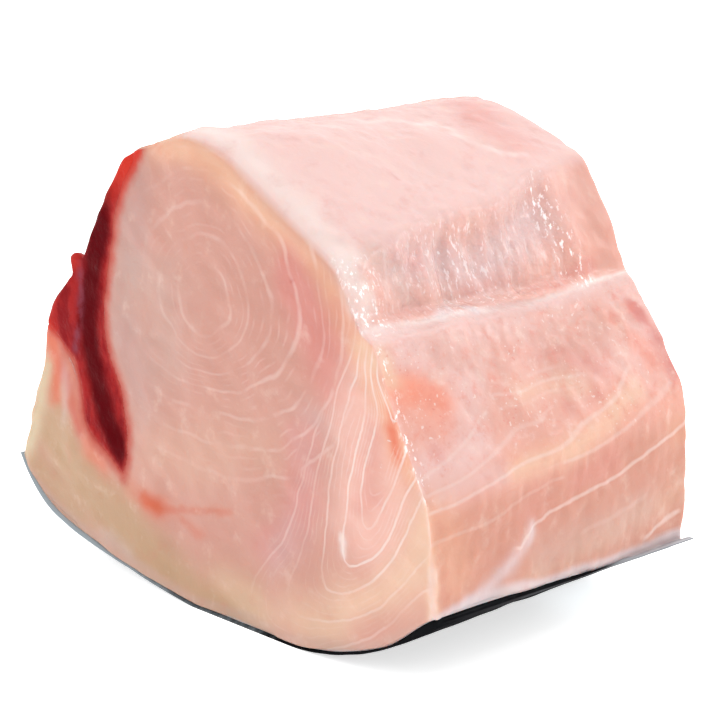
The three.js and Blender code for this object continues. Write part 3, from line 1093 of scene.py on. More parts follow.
SEAMS = Family((
    Line(0, ((87.2, 0.332, 52), (87.9, 0.422, 51.5), (87.6, 0.466, 52), (87.5, 0.551, 52.3),
         (88.2, 0.618, 51.8)), 0.45),
    Line(1, ((93.2, 0, 40.9), (94.4, 0.029, 42.4), (93.9, 0.108, 44), (91.9, 0.19, 46.4),
         (89.4, 0.258, 49.4)), 0.4),
    Line(2, ((96.9, 0.019, 39.2), (96.9, 0.101, 39.6), (96.6, 0.155, 40.4), (95.8, 0.23, 42.2),
         (94.5, 0.307, 44.2), (93.1, 0.353, 45.9), (93.6, 0.425, 45.6), (92, 0.481, 47.5)), 0.42),
    Line(3, ((98.1, 0.021, 35.6), (98.2, 0.091, 35.7), (98, 0.164, 36.9), (97.8, 0.244, 38),
         (97.5, 0.294, 39), (97.4, 0.377, 39.8), (97.3, 0.461, 40.3), (97.1, 0.52, 41.2),
         (96, 0.587, 43.4), (95.2, 0.666, 44.9), (93.8, 0.729, 46.6), (91.7, 0.77, 49),
         (90.1, 0.801, 50.7)), 0.58),
    Line(4, ((98, 0.498, 37.6), (98.2, 0.583, 38.1), (97.9, 0.696, 39.8), (96.8, 0.822, 43.1),
         (95.2, 0.932, 46)), 0.45),
    Line(5, ((98.9, 0.016, 29.6), (98.8, 0.112, 30), (98.7, 0.205, 30.5), (98.6, 0.286, 32.3),
         (98.6, 0.382, 33.6), (98.5, 0.452, 34.7)), 0.25),
    Line(6, ((98.9, 0.316, 23.5), (98.8, 0.346, 25.1), (98.7, 0.398, 27), (98.6, 0.475, 28.6),
         (98.6, 0.562, 29.7), (98.5, 0.621, 30.3), (98.5, 0.71, 31.5), (98.5, 0.793, 33.3),
         (98.6, 0.846, 34.6), (98.5, 0.94, 36.4), (98.5, 0.99, 37.9)), 0.72),
    Line(7, ((98.5, 0.573, 22.3), (98.4, 0.679, 22.9), (98.2, 0.802, 24.5)), 0.2),
    Line(8, ((97.9, 0.842, 15.9), (97.9, 0.889, 17.2), (97.8, 0.954, 18.3)), 0.8),
), 4.0)


# ---- The blood line's outline


@dataclass(frozen=True)
class Band:
    """The blood line's shape across the fish: a crescent whose outer side is the block's own.

    Attributes:
        block: the box it is measured from.
        core_side: (across, up) down its inner side, from its upper end to its blunt tip.
        belly_side: up the other side, from where it leaves the block's outside to the tip.
        outside: two places beyond the block that close the shape.
        drift: how far it leans from the near face to the far face, in millimetres.
        darkest: the line of its darkest muscle.
        streak: the pale streak beside that line.
        lobe: the bright lobe at its left.
    """

    block: Block
    core_side: Places = (
        (-26.0, 99.0), (-28.6, 94.4), (-32.6, 89.2), (-37.4, 84.3), (-41.5, 78.5), (-44.5, 71.5),
        (-46.5, 67.0), (-47.9, 62.6), (-48.7, 58.2), (-48.8, 53.8), (-47.8, 49.6), (-44.7, 45.6),
        (-41.4, 41.6), (-39.7, 37.4), (-38.8, 33.1), (-38.6, 28.7), (-39.7, 24.6), (-41.4, 21.4),
    )
    belly_side: Places = (
        (-94, 53.5), (-82.5, 50.6), (-77.2, 48.4), (-73.0, 46.2), (-69.4, 43.6), (-67.0, 40.0),
        (-65.9, 35.6), (-64.0, 31.6), (-59.6, 28.4), (-53.4, 26.0), (-47.0, 23.4), (-42.6, 21.2),
    )
    outside: Places = ((-60, 125), (-120, 80))
    drift: Pair = (1.5, 0.6)
    darkest: Places = (
        (-43.6, 85.5), (-47.6, 80.9), (-50.2, 76.6), (-55.8, 67.9), (-59.0, 59.0), (-59.2, 50.0),
        (-56.0, 41.6), (-53.0, 37.4), (-49.6, 33.1), (-44.6, 28.4),
    )
    streak: Places = (
        (-64.4, 67.0), (-63.6, 62.0), (-64.0, 56.0), (-66.0, 51.0), (-67.6, 47.6),
    )
    lobe: Places = ((-80.5, 58.0), (-83.5, 53.5), (-81.0, 50.5))

    def edge(self) -> np.ndarray:
        """The closed outline on the near face, as (x, z) corners."""
        core = curve(self.block.cut(self.core_side), 70)
        belly = curve(self.block.cut(self.belly_side), 50)
        return np.vstack([core, belly[::-1], self.block.cut(self.outside)[::-1]])

    def unleant(self, places: np.ndarray) -> np.ndarray:
        """(x, z) of places carried back to the near face along the band's lean."""
        share = self.block.share(places[:, 1])
        return places[:, [0, 2]] - share[:, None] * np.array(self.drift)

    def gap(self, places: np.ndarray) -> np.ndarray:
        """Distance of each place from the band's edge, below zero inside it."""
        return polygon_gap(self.unleant(places), self.edge())

    def looks(self, places: np.ndarray, facing: np.ndarray) -> dict[str, np.ndarray]:
        """The layers that colour the blood line and the flesh that it stains.

        Args:
            places: one per row.
            facing: how squarely each faces along the fish, 0 to 1.

        Returns:
            The distance from the edge, the distance from the darkest line, the strength of the
            bright red at its upper tip and its left lobe, and that of the pale streak.
        """
        flat = self.unleant(places)
        up = self.block.up(places[:, 2])
        hidden = 7.0 * ease(91.0, 95.0, up) * (1 - facing)
        darkest = path_distance(flat, curve(self.block.cut(self.darkest), 60))
        lobe = path_distance(flat, self.block.cut(self.lobe))
        streak = path_distance(flat, curve(self.block.cut(self.streak), 40))
        return {
            "gap": self.gap(places) + hidden,
            "core": darkest + 9.0 * ease(74.0, 92.0, up),
            "bright": np.clip(ease(78, 92, up) + 0.8 * bell(lobe, 3.6), 0, 1),
            "sheen": 0.75 * bell(streak, 1.7) * facing,
        }


# ---- Materials


Socket = bpy.types.NodeSocket
Value = float | tuple | np.ndarray | bpy.types.NodeSocket


class Graph:
    """A material built one node at a time on the surface's own object coordinates."""

    def __init__(self, name: str) -> None:
        """Starts an empty material.

        Args:
            name: the material's name.
        """
        self.material = bpy.data.materials.new(name)
        self.material.use_nodes = True
        self.tree = self.material.node_tree
        self.tree.nodes.clear()
        self.coordinates = self.tree.nodes.new("ShaderNodeTexCoord").outputs["Object"]

    def put(self, socket: Socket, value: Value) -> None:
        """Links a socket to another, or sets its value."""
        if isinstance(value, bpy.types.NodeSocket):
            self.tree.links.new(value, socket)
        elif isinstance(value, (tuple, np.ndarray)):
            size = len(socket.default_value)
            socket.default_value = (tuple(value) + (1.0,))[:size]
        else:
            socket.default_value = value

    def math(self, operation: str, first: Value, second: Value = 0.0) -> Socket:
        """One sum, such as ADD or MULTIPLY."""
        node = self.tree.nodes.new("ShaderNodeMath")
        node.operation = operation
        self.put(node.inputs[0], first)
        self.put(node.inputs[1], second)
        return node.outputs[0]

    def times(self, first: Value, second: Value) -> Socket:
        """The product of two numbers."""
        return self.math("MULTIPLY", first, second)

    def plus(self, first: Value, second: Value) -> Socket:
        """The sum of two numbers."""
        return self.math("ADD", first, second)

    def swing(self, noise: Socket, width: float) -> Socket:
        """Noise about 0 instead of about 0.5, and so many times as wide."""
        return self.times(self.math("SUBTRACT", noise, 0.5), width)

    def layer(self, name: str, output: str = "Fac") -> Socket:
        """What is written on the mesh's points under a name: a number, or a Color."""
        node = self.tree.nodes.new("ShaderNodeAttribute")
        node.attribute_name = name
        return node.outputs[output]

    def noise(self, size: float, detail: float = 2.0, roughness: float = 0.5,
              stretch: Place = (1, 1, 1)) -> Socket:
        """Soft noise about 0.5.

        Args:
            size: of its blotches, in millimetres.
            detail: how many finer layers it has.
            roughness: how strong they are.
            stretch: how much longer the blotches are along X, Y and Z.

        Returns:
            The noise.
        """
        mapping = self.tree.nodes.new("ShaderNodeMapping")
        self.put(mapping.inputs["Vector"], self.coordinates)
        mapping.inputs["Scale"].default_value = tuple(1.0 / s for s in stretch)
        node = self.tree.nodes.new("ShaderNodeTexNoise")
        self.put(node.inputs["Vector"], mapping.outputs["Vector"])
        node.inputs["Scale"].default_value = 1.0 / (size * MM)
        node.inputs["Detail"].default_value = detail
        node.inputs["Roughness"].default_value = roughness
        return node.outputs["Fac"]

    def step(self, value: Value, low: float, high: float, start: Value = 0.0,
             end: Value = 1.0) -> Socket:
        """A smooth step from start, at low, to end, at high."""
        node = self.tree.nodes.new("ShaderNodeMapRange")
        node.interpolation_type = "SMOOTHSTEP"
        self.put(node.inputs["Value"], value)
        node.inputs["From Min"].default_value = low
        node.inputs["From Max"].default_value = high
        self.put(node.inputs["To Min"], start)
        self.put(node.inputs["To Max"], end)
        return node.outputs["Result"]

    def mix(self, factor: Value, first: Value, second: Value) -> Socket:
        """A mix of two colours, second laid over first."""
        node = self.tree.nodes.new("ShaderNodeMix")
        node.data_type = "RGBA"
        # The node has a set of sockets for each type of value; these are the colours'.
        for socket, value in ((0, factor), (6, first), (7, second)):
            self.put(node.inputs[socket], value)
        return node.outputs[2]

    def over(self, colour: Value, tone: Rgb, weight: Value) -> Socket:
        """A display colour laid over another colour."""
        return self.mix(weight, colour, reflectance(*tone))

    def lines(self, level: Socket, pitch: Value, width: float, soft: float) -> Socket:
        """Thin lines where a level is whole.

        Args:
            level: the field.
            pitch: millimetres between two whole levels.
            width: half the width of the line's solid part, in millimetres.
            soft: how far beyond that it fades out.

        Returns:
            1 on the lines, falling to 0 beside them.
        """
        part = self.math("FRACT", self.plus(level, 0.5))
        away = self.math("ABSOLUTE", self.math("SUBTRACT", part, 0.5))
        return self.step(self.times(away, pitch), width + soft, width)

    def bump(self, height: Socket, depth: float, normal: Socket | None = None) -> Socket:
        """A normal, the surface's own or a given one, bent by a height of so many millimetres."""
        node = self.tree.nodes.new("ShaderNodeBump")
        node.inputs["Distance"].default_value = depth * MM
        self.put(node.inputs["Height"], height)
        if normal is not None:
            self.put(node.inputs["Normal"], normal)
        return node.outputs["Normal"]

    def surface(self, **inputs: Value) -> bpy.types.Material:
        """Ends in one glossy surface whose inputs are named with _ for each space."""
        shader = self.tree.nodes.new("ShaderNodeBsdfPrincipled")
        for name, value in inputs.items():
            self.put(shader.inputs[name.replace("_", " ")], value)
        output = self.tree.nodes.new("ShaderNodeOutputMaterial")
        self.tree.links.new(shader.outputs["BSDF"], output.inputs["Surface"])
        return self.material


@dataclass(frozen=True)
class BloodLook:
    """The blood line's reds, which bleed softly into the pale flesh on both sides of its edge.

    Attributes:
        fringe: the colour of the thin edge.
        flank, deep: the two colours further in.
        core: the colour of the darkest muscle.
        bright: the colour of the upper tip and the left lobe.
        sheen: the colour of the pale streak.
        out, inside: where the fringe starts and where it is full, in millimetres from the edge.
        coat: weight of the moist coat on pale flesh.
    """

    fringe: Rgb = (200, 96, 84)
    flank: Rgb = (173, 42, 42)
    deep: Rgb = (122, 16, 26)
    core: Rgb = (96, 4, 12)
    bright: Rgb = (215, 60, 46)
    sheen: Rgb = (140, 70, 86)
    out: float = 3.6
    inside: float = -2.2
    coat: float = 0.34

    def over(self, graph: Graph, flesh: Socket) -> Socket:
        """Lays the reds over a flesh colour.

        Args:
            graph: the material.
            flesh: the colour without any blood.

        Returns:
            The colour.
        """
        grain = graph.noise(5.0, 4.0, 0.6, (1, 2, 1))
        wander = graph.swing(grain, 3.2)
        gap = graph.plus(graph.layer("gap"), wander)
        colour = graph.over(flesh, self.fringe, graph.step(gap, self.out, self.inside))
        colour = graph.over(colour, self.flank, graph.step(gap, -0.6, -4.0))
        patch = graph.times(graph.step(graph.noise(7.0, 3.0, 0.6, (1, 2, 2)), 0.42, 0.62),
                            graph.step(gap, -1.5, -4.5))
        colour = graph.over(colour, self.deep, graph.times(patch, 0.6))
        away = graph.plus(graph.layer("core"), graph.times(wander, 0.8))
        dark = graph.times(graph.step(away, 8.0, 2.2), graph.step(gap, -1.4, -4.6))
        colour = graph.over(colour, self.core, dark)
        glow = graph.times(graph.layer("bright"), graph.step(gap, 1.5, -2.0))
        colour = graph.over(colour, self.bright, glow)
        pale = graph.times(graph.layer("sheen"), graph.step(grain, 0.3, 0.6))
        return graph.over(colour, self.sheen, pale)

    def moisture(self, graph: Graph, wet: Value = 0.0) -> Socket:
        """Weight of the moist coat, which the blood's deep reds hardly have."""
        full = graph.plus(self.coat, graph.times(wet, 1.0 - self.coat))
        return graph.times(full, graph.step(graph.layer("gap"), self.inside, self.out))


@dataclass(frozen=True)
class MuscleFinish:
    """Moist pale muscle: soft patches of colour, white lines of connective tissue, fine fibre.

    Attributes:
        line: the colour of the white lines, and of the pale specks, which are painted glistening
            highlights.
        speck: the colour of the ruddy specks.
        rosy, creamy: the two colours of the broad blotches.
        glint: the colour of the painted wet glints, which is brighter than white.
        depth: how deep light soaks into the muscle, in millimetres.
        blood: the reds that bleed into it.
    """

    line: Rgb = (250, 226, 218)
    speck: Rgb = (236, 130, 116)
    rosy: Rgb = (216, 132, 118)
    creamy: Rgb = (250, 222, 206)
    glint: Rgb = (300, 298, 300)
    depth: float = 3.2
    blood: BloodLook = BloodLook()

    def make(self) -> bpy.types.Material:
        """The material."""
        graph = Graph("moist_muscle")
        colour = graph.layer("tint", "Color")
        blotch = graph.noise(9.0, 4.0, 0.6)
        colour = graph.over(colour, self.rosy, graph.step(blotch, 0.52, 0.78, 0.0, 0.22))
        colour = graph.over(colour, self.creamy, graph.step(blotch, 0.46, 0.24, 0.0, 0.25))
        mottle, scoop = graph.layer("mottle"), graph.layer("scoop")
        patches = graph.times(graph.step(graph.noise(12.0, 2.0), 0.44, 0.6), mottle)
        flecks = graph.noise(4.5, 6.0, 0.66)
        specks = graph.noise(1.6, 1.5)
        ribs = graph.noise(3.6, 3.0, 0.55, (2, 1, 5))
        for noise, low, high, where, strength, tone in (
            (flecks, 0.5, 0.7, mottle, 0.3, (238, 140, 122)),
            (flecks, 0.46, 0.3, mottle, 0.32, (252, 216, 206)),
            # The pale specks on the shoulder are painted glistening highlights.
            (specks, 0.64, 0.72, patches, 0.7, self.line),
            (specks, 0.34, 0.25, patches, 0.4, self.speck),
            (ribs, 0.52, 0.7, scoop, 0.25, (253, 236, 234)),
            (ribs, 0.46, 0.3, scoop, 0.12, (220, 164, 162)),
        ):
            spots = graph.times(graph.step(noise, low, high), where)
            colour = graph.over(colour, tone, graph.times(spots, strength))
        marks = self._marks(graph)
        colour = self.blood.over(graph, graph.over(colour, self.line, marks))
        wet = graph.layer("wet")
        # Painted highlights: white wet glints laid into the colour where the glint layer is set.
        sparkle = graph.step(graph.noise(1.5, 3.0, 0.6, (1, 1, 3)), 0.55, 0.66)
        colour = graph.over(colour, self.glint, graph.times(sparkle, graph.layer("glint")))
        gloss = graph.step(graph.noise(5.0, 3.0), 0.3, 0.7, 0.34, 0.5)
        roughness = graph.math("SUBTRACT", gloss, graph.times(wet, 0.22))
        fibre = graph.noise(1.4, 3.0, 0.6)
        dimple = graph.times(graph.noise(3.4, 2.0), graph.plus(graph.math("MAXIMUM", wet), 0.06))
        normal = graph.bump(fibre, 0.12)
        normal = graph.bump(dimple, 1.1, normal)
        normal = graph.bump(marks, 0.12, normal)
        return graph.surface(
            Base_Color=colour, Roughness=roughness, Normal=normal,
            Subsurface_Weight=0.55, Subsurface_Radius=(1.0, 0.42, 0.3),
            Subsurface_Scale=self.depth * MM, IOR=1.4, Specular_IOR_Level=0.05,
            Coat_Weight=self.blood.moisture(graph, wet), Coat_Roughness=0.26, Coat_IOR=1.4,
        )

    def _marks(self, graph: Graph) -> Socket:
        """All the white lines together: the rings, the fan and the seams."""
        level = graph.plus(graph.layer("ring"), graph.swing(graph.noise(15.0, 1.6), 0.6))
        patchy = graph.step(graph.noise(16.0, 2.0), 0.36, 0.6)
        bold = graph.times(graph.lines(level, 10.0, 0.15, 1.0), patchy)
        other = graph.step(graph.noise(9.0, 2.0), 0.46, 0.66)
        thin = graph.times(graph.lines(graph.times(level, 3.0), 3.4, 0.05, 0.7), other)
        rings = graph.math("MAXIMUM", bold, graph.times(thin, 0.55))
        rings = graph.times(rings, graph.layer("ring_on"))

        fan = graph.plus(graph.layer("fan"), graph.swing(graph.noise(8.0, 2.0), 0.22))
        pitch = graph.layer("fan_pitch")
        bold = graph.times(graph.lines(fan, pitch, 0.16, 0.5),
                           graph.step(graph.noise(18.0, 2.0), 0.3, 0.6, 0.35, 1.0))
        thin = graph.lines(graph.times(fan, 4.0), graph.times(pitch, 0.25), 0.05, 0.4)
        thin = graph.times(thin, graph.step(graph.noise(10.0, 2.0), 0.4, 0.62, 0.05, 0.35))
        fans = graph.times(graph.math("MAXIMUM", bold, thin), graph.layer("fan_on"))

        seam = graph.plus(graph.layer("seam"), graph.swing(graph.noise(7.0, 3.0), 0.12))
        seams = graph.lines(seam, graph.layer("seam_pitch"), 0.14, 0.85)
        seams = graph.times(seams, graph.layer("seam_on"))
        most = graph.math("MAXIMUM", graph.times(rings, 0.3), graph.times(fans, 0.8))
        return graph.math("MAXIMUM", most, graph.times(seams, 0.62))


@dataclass(frozen=True)
class BloodFinish:
    """Wet dark muscle with a fine lengthwise fibre."""

    blood: BloodLook = BloodLook()

    def make(self) -> bpy.types.Material:
        """The material."""
        graph = Graph("dark_muscle")
        colour = self.blood.over(graph, graph.layer("tint", "Color"))
        streak = graph.noise(3.0, 4.0, 0.6, (1, 3, 1))
        fibre = graph.noise(1.6, 3.0, 0.6, (1, 2, 1))
        normal = graph.bump(graph.noise(5.0, 2.0), 0.7, graph.bump(fibre, 0.2))
        return graph.surface(
            Base_Color=colour, Roughness=graph.step(streak, 0.3, 0.7, 0.3, 0.46), Normal=normal,
            Subsurface_Weight=0.4, Subsurface_Radius=(1.0, 0.3, 0.2),
            Subsurface_Scale=1.6 * MM, IOR=1.4, Specular_IOR_Level=0.02,
            Coat_Weight=self.blood.moisture(graph), Coat_Roughness=0.2, Coat_IOR=1.4,
        )


@dataclass(frozen=True)
class SkinFinish:
    """Wet fish skin: near black, paler and bluer at its two long edges, where it is thin and where
    a wet sheen is painted on.

    Attributes:
        dark, slate: the two colours of the thick skin.
        pale: its colour where it is thin, which is also its painted wet sheen.
        inner: the colour of its inner side, where that shows.
    """

    dark: Rgb = (18, 18, 20)
    slate: Rgb = (36, 40, 44)
    pale: Rgb = (168, 179, 185)
    inner: Rgb = (206, 202, 206)

    def make(self) -> bpy.types.Material:
        """The material."""
        graph = Graph("wet_skin")
        grain = graph.noise(2.4, 4.0, 0.6, (1, 2.5, 1))
        mottle = graph.step(graph.noise(11.0, 3.0), 0.35, 0.7, 0.0, 0.35)
        colour = graph.over(reflectance(*self.dark), self.slate, mottle)
        thin = graph.plus(graph.layer("thin"), graph.swing(grain, 0.5))
        # Paler and bluer on the thin edges: partly thin skin, partly painted wet sheen.
        colour = graph.over(colour, self.pale, graph.step(thin, 0.15, 0.85))
        colour = graph.over(colour, self.inner, graph.layer("inner"))
        normal = graph.bump(grain, 0.25)
        return graph.surface(
            Base_Color=colour, Roughness=graph.step(grain, 0.3, 0.7, 0.26, 0.42), Normal=normal,
            Subsurface_Weight=0.08, Subsurface_Radius=(0.6, 0.6, 0.7),
            Subsurface_Scale=0.8 * MM, IOR=1.42, Specular_IOR_Level=0.0, Coat_Weight=0.03,
            Coat_Roughness=0.2,
        )


@dataclass(frozen=True)
class FloorFinish:
    """A plain white floor, faintly uneven, with a faint glow of its own that keeps shadows soft.

    Attributes:
        shade, cloud: its two colours.
        glow: strength of the glow.
    """

    shade: Rgb = (246, 246, 246)
    cloud: Rgb = (243, 243, 244)
    glow: float = 0.6

    def make(self) -> bpy.types.Material:
        """The material."""
        graph = Graph("floor")
        where = graph.step(graph.noise(400.0, 1.0), 0.3, 0.7, 0.0, 0.3)
        colour = graph.mix(where, linear(*self.shade), linear(*self.cloud))
        return graph.surface(Base_Color=colour, Roughness=0.9, Specular_IOR_Level=0.1,
                             Emission_Color=(1.0, 1.0, 1.0), Emission_Strength=self.glow)


# ---- The three pieces


@dataclass
class Muscle:
    """The white muscle: a loft of the section with its two cut faces closed to a point.

    Attributes:
        section: its outline along the fish.
        band: the blood line, under which it is drawn in.
        near_rows, side_rows, far_rows, edge_rows: fineness of the faces and of the rounding.
        stations: how many outlines are worked out along the fish.
        pole: (across, up) where each cut face closes.
        hollow: depth of the scoop between the ridge and the ledge, in millimetres.
        crown_reach, swell_reach: how far the cut faces' crown and the swelling on the top spread.
        crease_reach: how far the unevenness fades out beside the crease under the ledge.
        outlines, soft: the outlines, and the rounding round the two cut faces.
        crowding: the power that crowds a face's rows a little towards its rim.
        recess: how far it is drawn in under the blood line.
    """

    section: Section
    band: Band
    near_rows: int = 92
    side_rows: int = 102
    far_rows: int = 40
    edge_rows: int = 4
    stations: int = 127
    pole: Pair = (6.0, 52.0)
    crowding: float = 0.9
    hollow: float = 3.6
    crown_reach: float = 45.0
    swell_reach: float = 11.0
    crease_reach: float = 2.2
    recess: float = 1.2
    outlines: np.ndarray = field(init=False)
    soft: np.ndarray = field(init=False)

    def __post_init__(self) -> None:
        """Works out the outlines once, because the blood line needs them too."""
        self.outlines = self.section.outlines(np.linspace(0, 1, self.stations))
        self.soft = self.section.softness(self.outlines[[0, -1]])

    def outline_at(self, share: np.ndarray, column: np.ndarray | None = None) -> np.ndarray:
        """Points of the outline, each at its own share of the length.

        Args:
            share: for each point.
            column: which point of the outline each is, or how far it lies between two; without
                it, the last axis of share runs once round the outline.

        Returns:
            (x, z) for each.
        """
        if column is None:
            column = np.broadcast_to(np.arange(self.outlines.shape[1]), share.shape)
        found = 0.0
        station, rest = self._split(np.clip(share, 0, 1) * (self.stations - 1), self.stations)
        low, part = self._split(column, self.outlines.shape[1])
        for ahead, along in ((0, 1 - rest), (1, rest)):
            found = found + along * ((1 - part) * self.outlines[station + ahead, low]
                                     + part * self.outlines[station + ahead, low + 1])
        return found

    @staticmethod
    def _split(place: np.ndarray, count: int) -> tuple[np.ndarray, np.ndarray]:
        """The whole place below each, among so many, and the part beyond it in a last axis."""
        low = np.clip(place.astype(int), 0, count - 2)
        return low, (place - low)[..., None]

    def inward(self, share: np.ndarray) -> np.ndarray:
        """Vectors towards the pole that draw the outline in by one millimetre.

        They keep every column on its own ray from the pole, and are longer where the ray meets
        the outline at a slant.
        """
        outline = self.outline_at(share)
        tangent = unit(np.roll(outline, -1, axis=1) - np.roll(outline, 1, axis=1))
        ray = unit(self.section.block.cut(self.pole) - outline)
        square = np.abs(ray[..., 0] * tangent[..., 1] - ray[..., 1] * tangent[..., 0])
        return ray / np.maximum(square, 0.4)[..., None]

    def shell(self) -> Skinned:
        """The closed surface before its lumps.

        The near face runs out from its pole to the outline drawn in by the rounding, then a
        quarter circle leads to the sides, which follow the outline to the far end; the far face
        is the same the other way round.
        """
        block = self.section.block
        turn = np.linspace(0, math.pi / 2, self.edge_rows + 1)[:, None]
        edges = []
        for face, soft in enumerate(self.soft):
            depth = soft * (1 - np.cos(turn))
            share = depth / block.length if face == 0 else 1 - depth / block.length
            y = block.y(0) + depth if face == 0 else block.y(1) - depth
            drawn = self.inward(share) * (soft * (1 - np.sin(turn)))[..., None]
            edges.append(stand(self.outline_at(share) + drawn, y))
        start, end = self.soft[0] / block.length, 1 - self.soft[1] / block.length
        t = (np.arange(1, self.side_rows + 1) / (self.side_rows + 1))[:, None]
        share = start + (end - start) * t
        rows = np.concatenate([
            self._face(edges[0][0], self.near_rows),
            edges[0],
            stand(self.outline_at(share), block.y(share)),
            edges[1][::-1],
            self._face(edges[1][0], self.far_rows)[::-1],
        ])
        pole = block.cut(self.pole)
        return Skinned(rows, stand(pole, block.y(0)), stand(pole, block.y(1)))

    def _face(self, rim: np.ndarray, count: int) -> np.ndarray:
        """Rows of a cut face, from its pole out to its rim."""
        out = (np.arange(1, count + 1) / (count + 1))[:, None, None] ** self.crowding
        pole = stand(self.section.block.cut(self.pole), rim[0, 1])
        return pole + out * (rim - pole)

    def lumps(self, places: np.ndarray, normals: np.ndarray) -> np.ndarray:
        """How far each place stands out from the plain loft.

        Broad and fine unevenness everywhere; the scoop between the ridge and the ledge, hollow
        and ribbed; the raised white lip of the ledge; a swelling on the top; a slight crown on
        each cut face.

        Args:
            places: one per row.
            normals: outward unit normals there.

        Returns:
            Millimetres outwards.
        """
        block = self.section.block
        across, share, up = block.measured(places)
        facing = ease(0.6, 0.9, np.abs(normals[:, 1]))
        side = 1 - facing
        out = 0.45 * Ripples(34.0, 1).at(places) + 0.14 * Ripples(11.0, 2).at(places)
        out += side * 0.12 * Ripples(5.0, 3).at(places)
        crown = bell(np.hypot(across - 5, up - 55), self.crown_reach)
        out += facing * crown

        scoop = self.scoop(across, share, up) * side
        slant = places + np.outer(up - 66, [0.0, -0.3, 0.0])
        ribs = Ripples(9.0, 11, (9.0, 1.0, 9.0)).at(slant)
        fine = Ripples(4.0, 12, (6.0, 1.0, 6.0)).at(slant)
        out += scoop * (0.34 * ribs + 0.2 * fine - self.hollow)
        foot = bell(up - 68.2, 2.6) * ease(62, 66, across) * side
        pits = ease(-0.2, 1.4, Ripples(12.0, 13, (30.0, 1.0, 30.0)).at(places))
        out -= foot * (0.5 + 1.1 * pits) * ease(0.02, 0.12, share) * ease(1.0, 0.9, share)

        lip = block.spots(((69.8, 0, 66.4), (70.2, 0.2, 66), (70.9, 0.39, 66.1),
                           (72.4, 0.46, 65.4), (72.6, 0.6, 65.4), (71.8, 0.7, 65.9),
                           (71.2, 0.84, 66.4), (71.2, 1, 67)))
        edge = bell(path_distance(places, lip), 1.6)
        out += side * edge * (0.4 + 0.16 * Ripples(8.0, 14).at(places))
        fold = block.spots(((70.4, 0.25, 66.4), (68.2, 0.34, 67.8), (70.6, 0.39, 66.3)))
        out += side * 0.6 * bell(path_distance(places, fold), 2.0)

        crease = block.cut(glide(share, self.section.corners[self.section.crease].stops))
        apart = np.linalg.norm(places[:, [0, 2]] - crease, axis=1)
        out *= 1 - 0.9 * side * bell(apart, self.crease_reach)

        swell = block.spots(((10, 0.88, 99), (26, 0.84, 96), (38, 0.83, 93)))
        out += side * bell(path_distance(places, swell), self.swell_reach)
        return out

    @staticmethod
    def below_ridge(share: np.ndarray, up: np.ndarray, full: float) -> np.ndarray:
        """1 below the ridge on the right flank, 0 above it.

        Args:
            share: where along.
            up: where up; the ridge itself rises towards the far face.
            full: how far below the ridge it is 1, as a height below zero.

        Returns:
            A number for each place.
        """
        ridge = 79.5 + 5.0 * ease(0.0, 0.45, share) + 5.0 * ease(0.6, 0.8, share)
        return ease(0.5, full, up - ridge)

    def scoop(self, across: np.ndarray, share: np.ndarray, up: np.ndarray) -> np.ndarray:
        """1 in the scoop on the right flank, 0 outside it."""
        along = ease(0.02, 0.2, share) * ease(0.835, 0.765, share)
        above = ease(65.6, 69.5, up) * self.below_ridge(share, up, -6.0)
        return ease(44, 50, across) * along * above

    def make(self, colouring: Colouring, rings: Rings) -> bpy.types.Object:
        """Builds and dresses the piece.

        Args:
            colouring: gives its tint.
            rings: the muscle's growth rings.

        Returns:
            The piece.
        """
        shell = self.shell()
        base = shell.rows.reshape(-1, 3)
        normals = shell.normals().reshape(-1, 3)
        up = self.section.block.up(base[:, 2])
        sunk = ease(-2.2, -4.2, self.band.gap(base)) * ease(93.6, 90.6, up)
        out = self.lumps(base, normals) - self.recess * sunk
        out *= 1 - ease(-0.3, -0.7, normals[:, 2])
        rows = (base + normals * out[:, None]).reshape(shell.rows.shape)
        layers = self._layers(base, normals, rings)
        layers["tint"] = colouring.tint(base, normals)
        piece = Skinned.closed(rows).build("white_muscle_flesh", layers)
        piece.data.materials.append(MuscleFinish().make())
        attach(piece, "root")
        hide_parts("white_muscle")
        return piece

    def _layers(self, base: np.ndarray, normals: np.ndarray,
                rings: Rings) -> dict[str, np.ndarray]:
        """The numbers that steer the material: its lines, its blood, its wet and mottled places.

        Args:
            base: places, one per row.
            normals: outward unit normals there.
            rings: the muscle's growth rings.

        Returns:
            The layers.
        """
        block = self.section.block
        across, share, up = block.measured(base)
        flat = base[:, [0, 2]]
        facing = ease(0.7, 0.95, np.abs(normals[:, 1]))
        side = 1 - facing
        fan, fan_pitch, fan_on = FAN.field(block, flat)
        seam, seam_pitch, seam_on = SEAMS.field(block, base)
        ledge = bell(up - 66.5, 5.0) * ease(60, 66, across)
        flank = ease(44, 50, across) * ease(65.2, 67.0, up) * self.below_ridge(share, up, -3.0)
        far_ridge = share - 0.79 + (up - 80) / 600
        wet = flank * (1 - ease(0.02, 0.08, far_ridge))
        # Painted highlights: where the wet glints are painted, thickest at the scoop's near end
        # and along its far ridge.
        glints = 0.9 * bell(share - 0.04, 0.05) + 0.7 * bell(far_ridge, 0.04)
        glints += 0.3 * bell(share - 0.4, 0.2)
        # Painted glints: white specks along the upright corner of the near face.
        corner = block.spots(((75.5, 0.01, 63.6), (80, 0.01, 58.0), (87.2, 0.01, 47.8),
                              (92, 0.01, 42.4), (95.4, 0.01, 38.2)))
        corner_glints = 0.9 * bell(path_distance(base, corner), 2.0)
        shoulder = ease(38, 44, up) * ease(67, 62, up) * ease(70, 76, across)
        return {
            "ring": rings.level(flat),
            "ring_on": rings.strength(flat) * facing,
            "fan": fan,
            "fan_pitch": fan_pitch,
            "fan_on": fan_on * facing,
            "seam": seam,
            "seam_pitch": seam_pitch,
            "seam_on": seam_on * side * ease(0, 0.5, normals[:, 0]),
            **self.band.looks(base, facing),
            "wet": (np.clip((wet + 0.4 * ledge) * side, 0, 1)
                    - 0.48 * ease(0.2, -0.2, normals[:, 0]) * side),
            "mottle": shoulder * side,
            "scoop": wet * side,
            "glint": np.clip(wet * side * glints + corner_glints, 0, 1),
        }


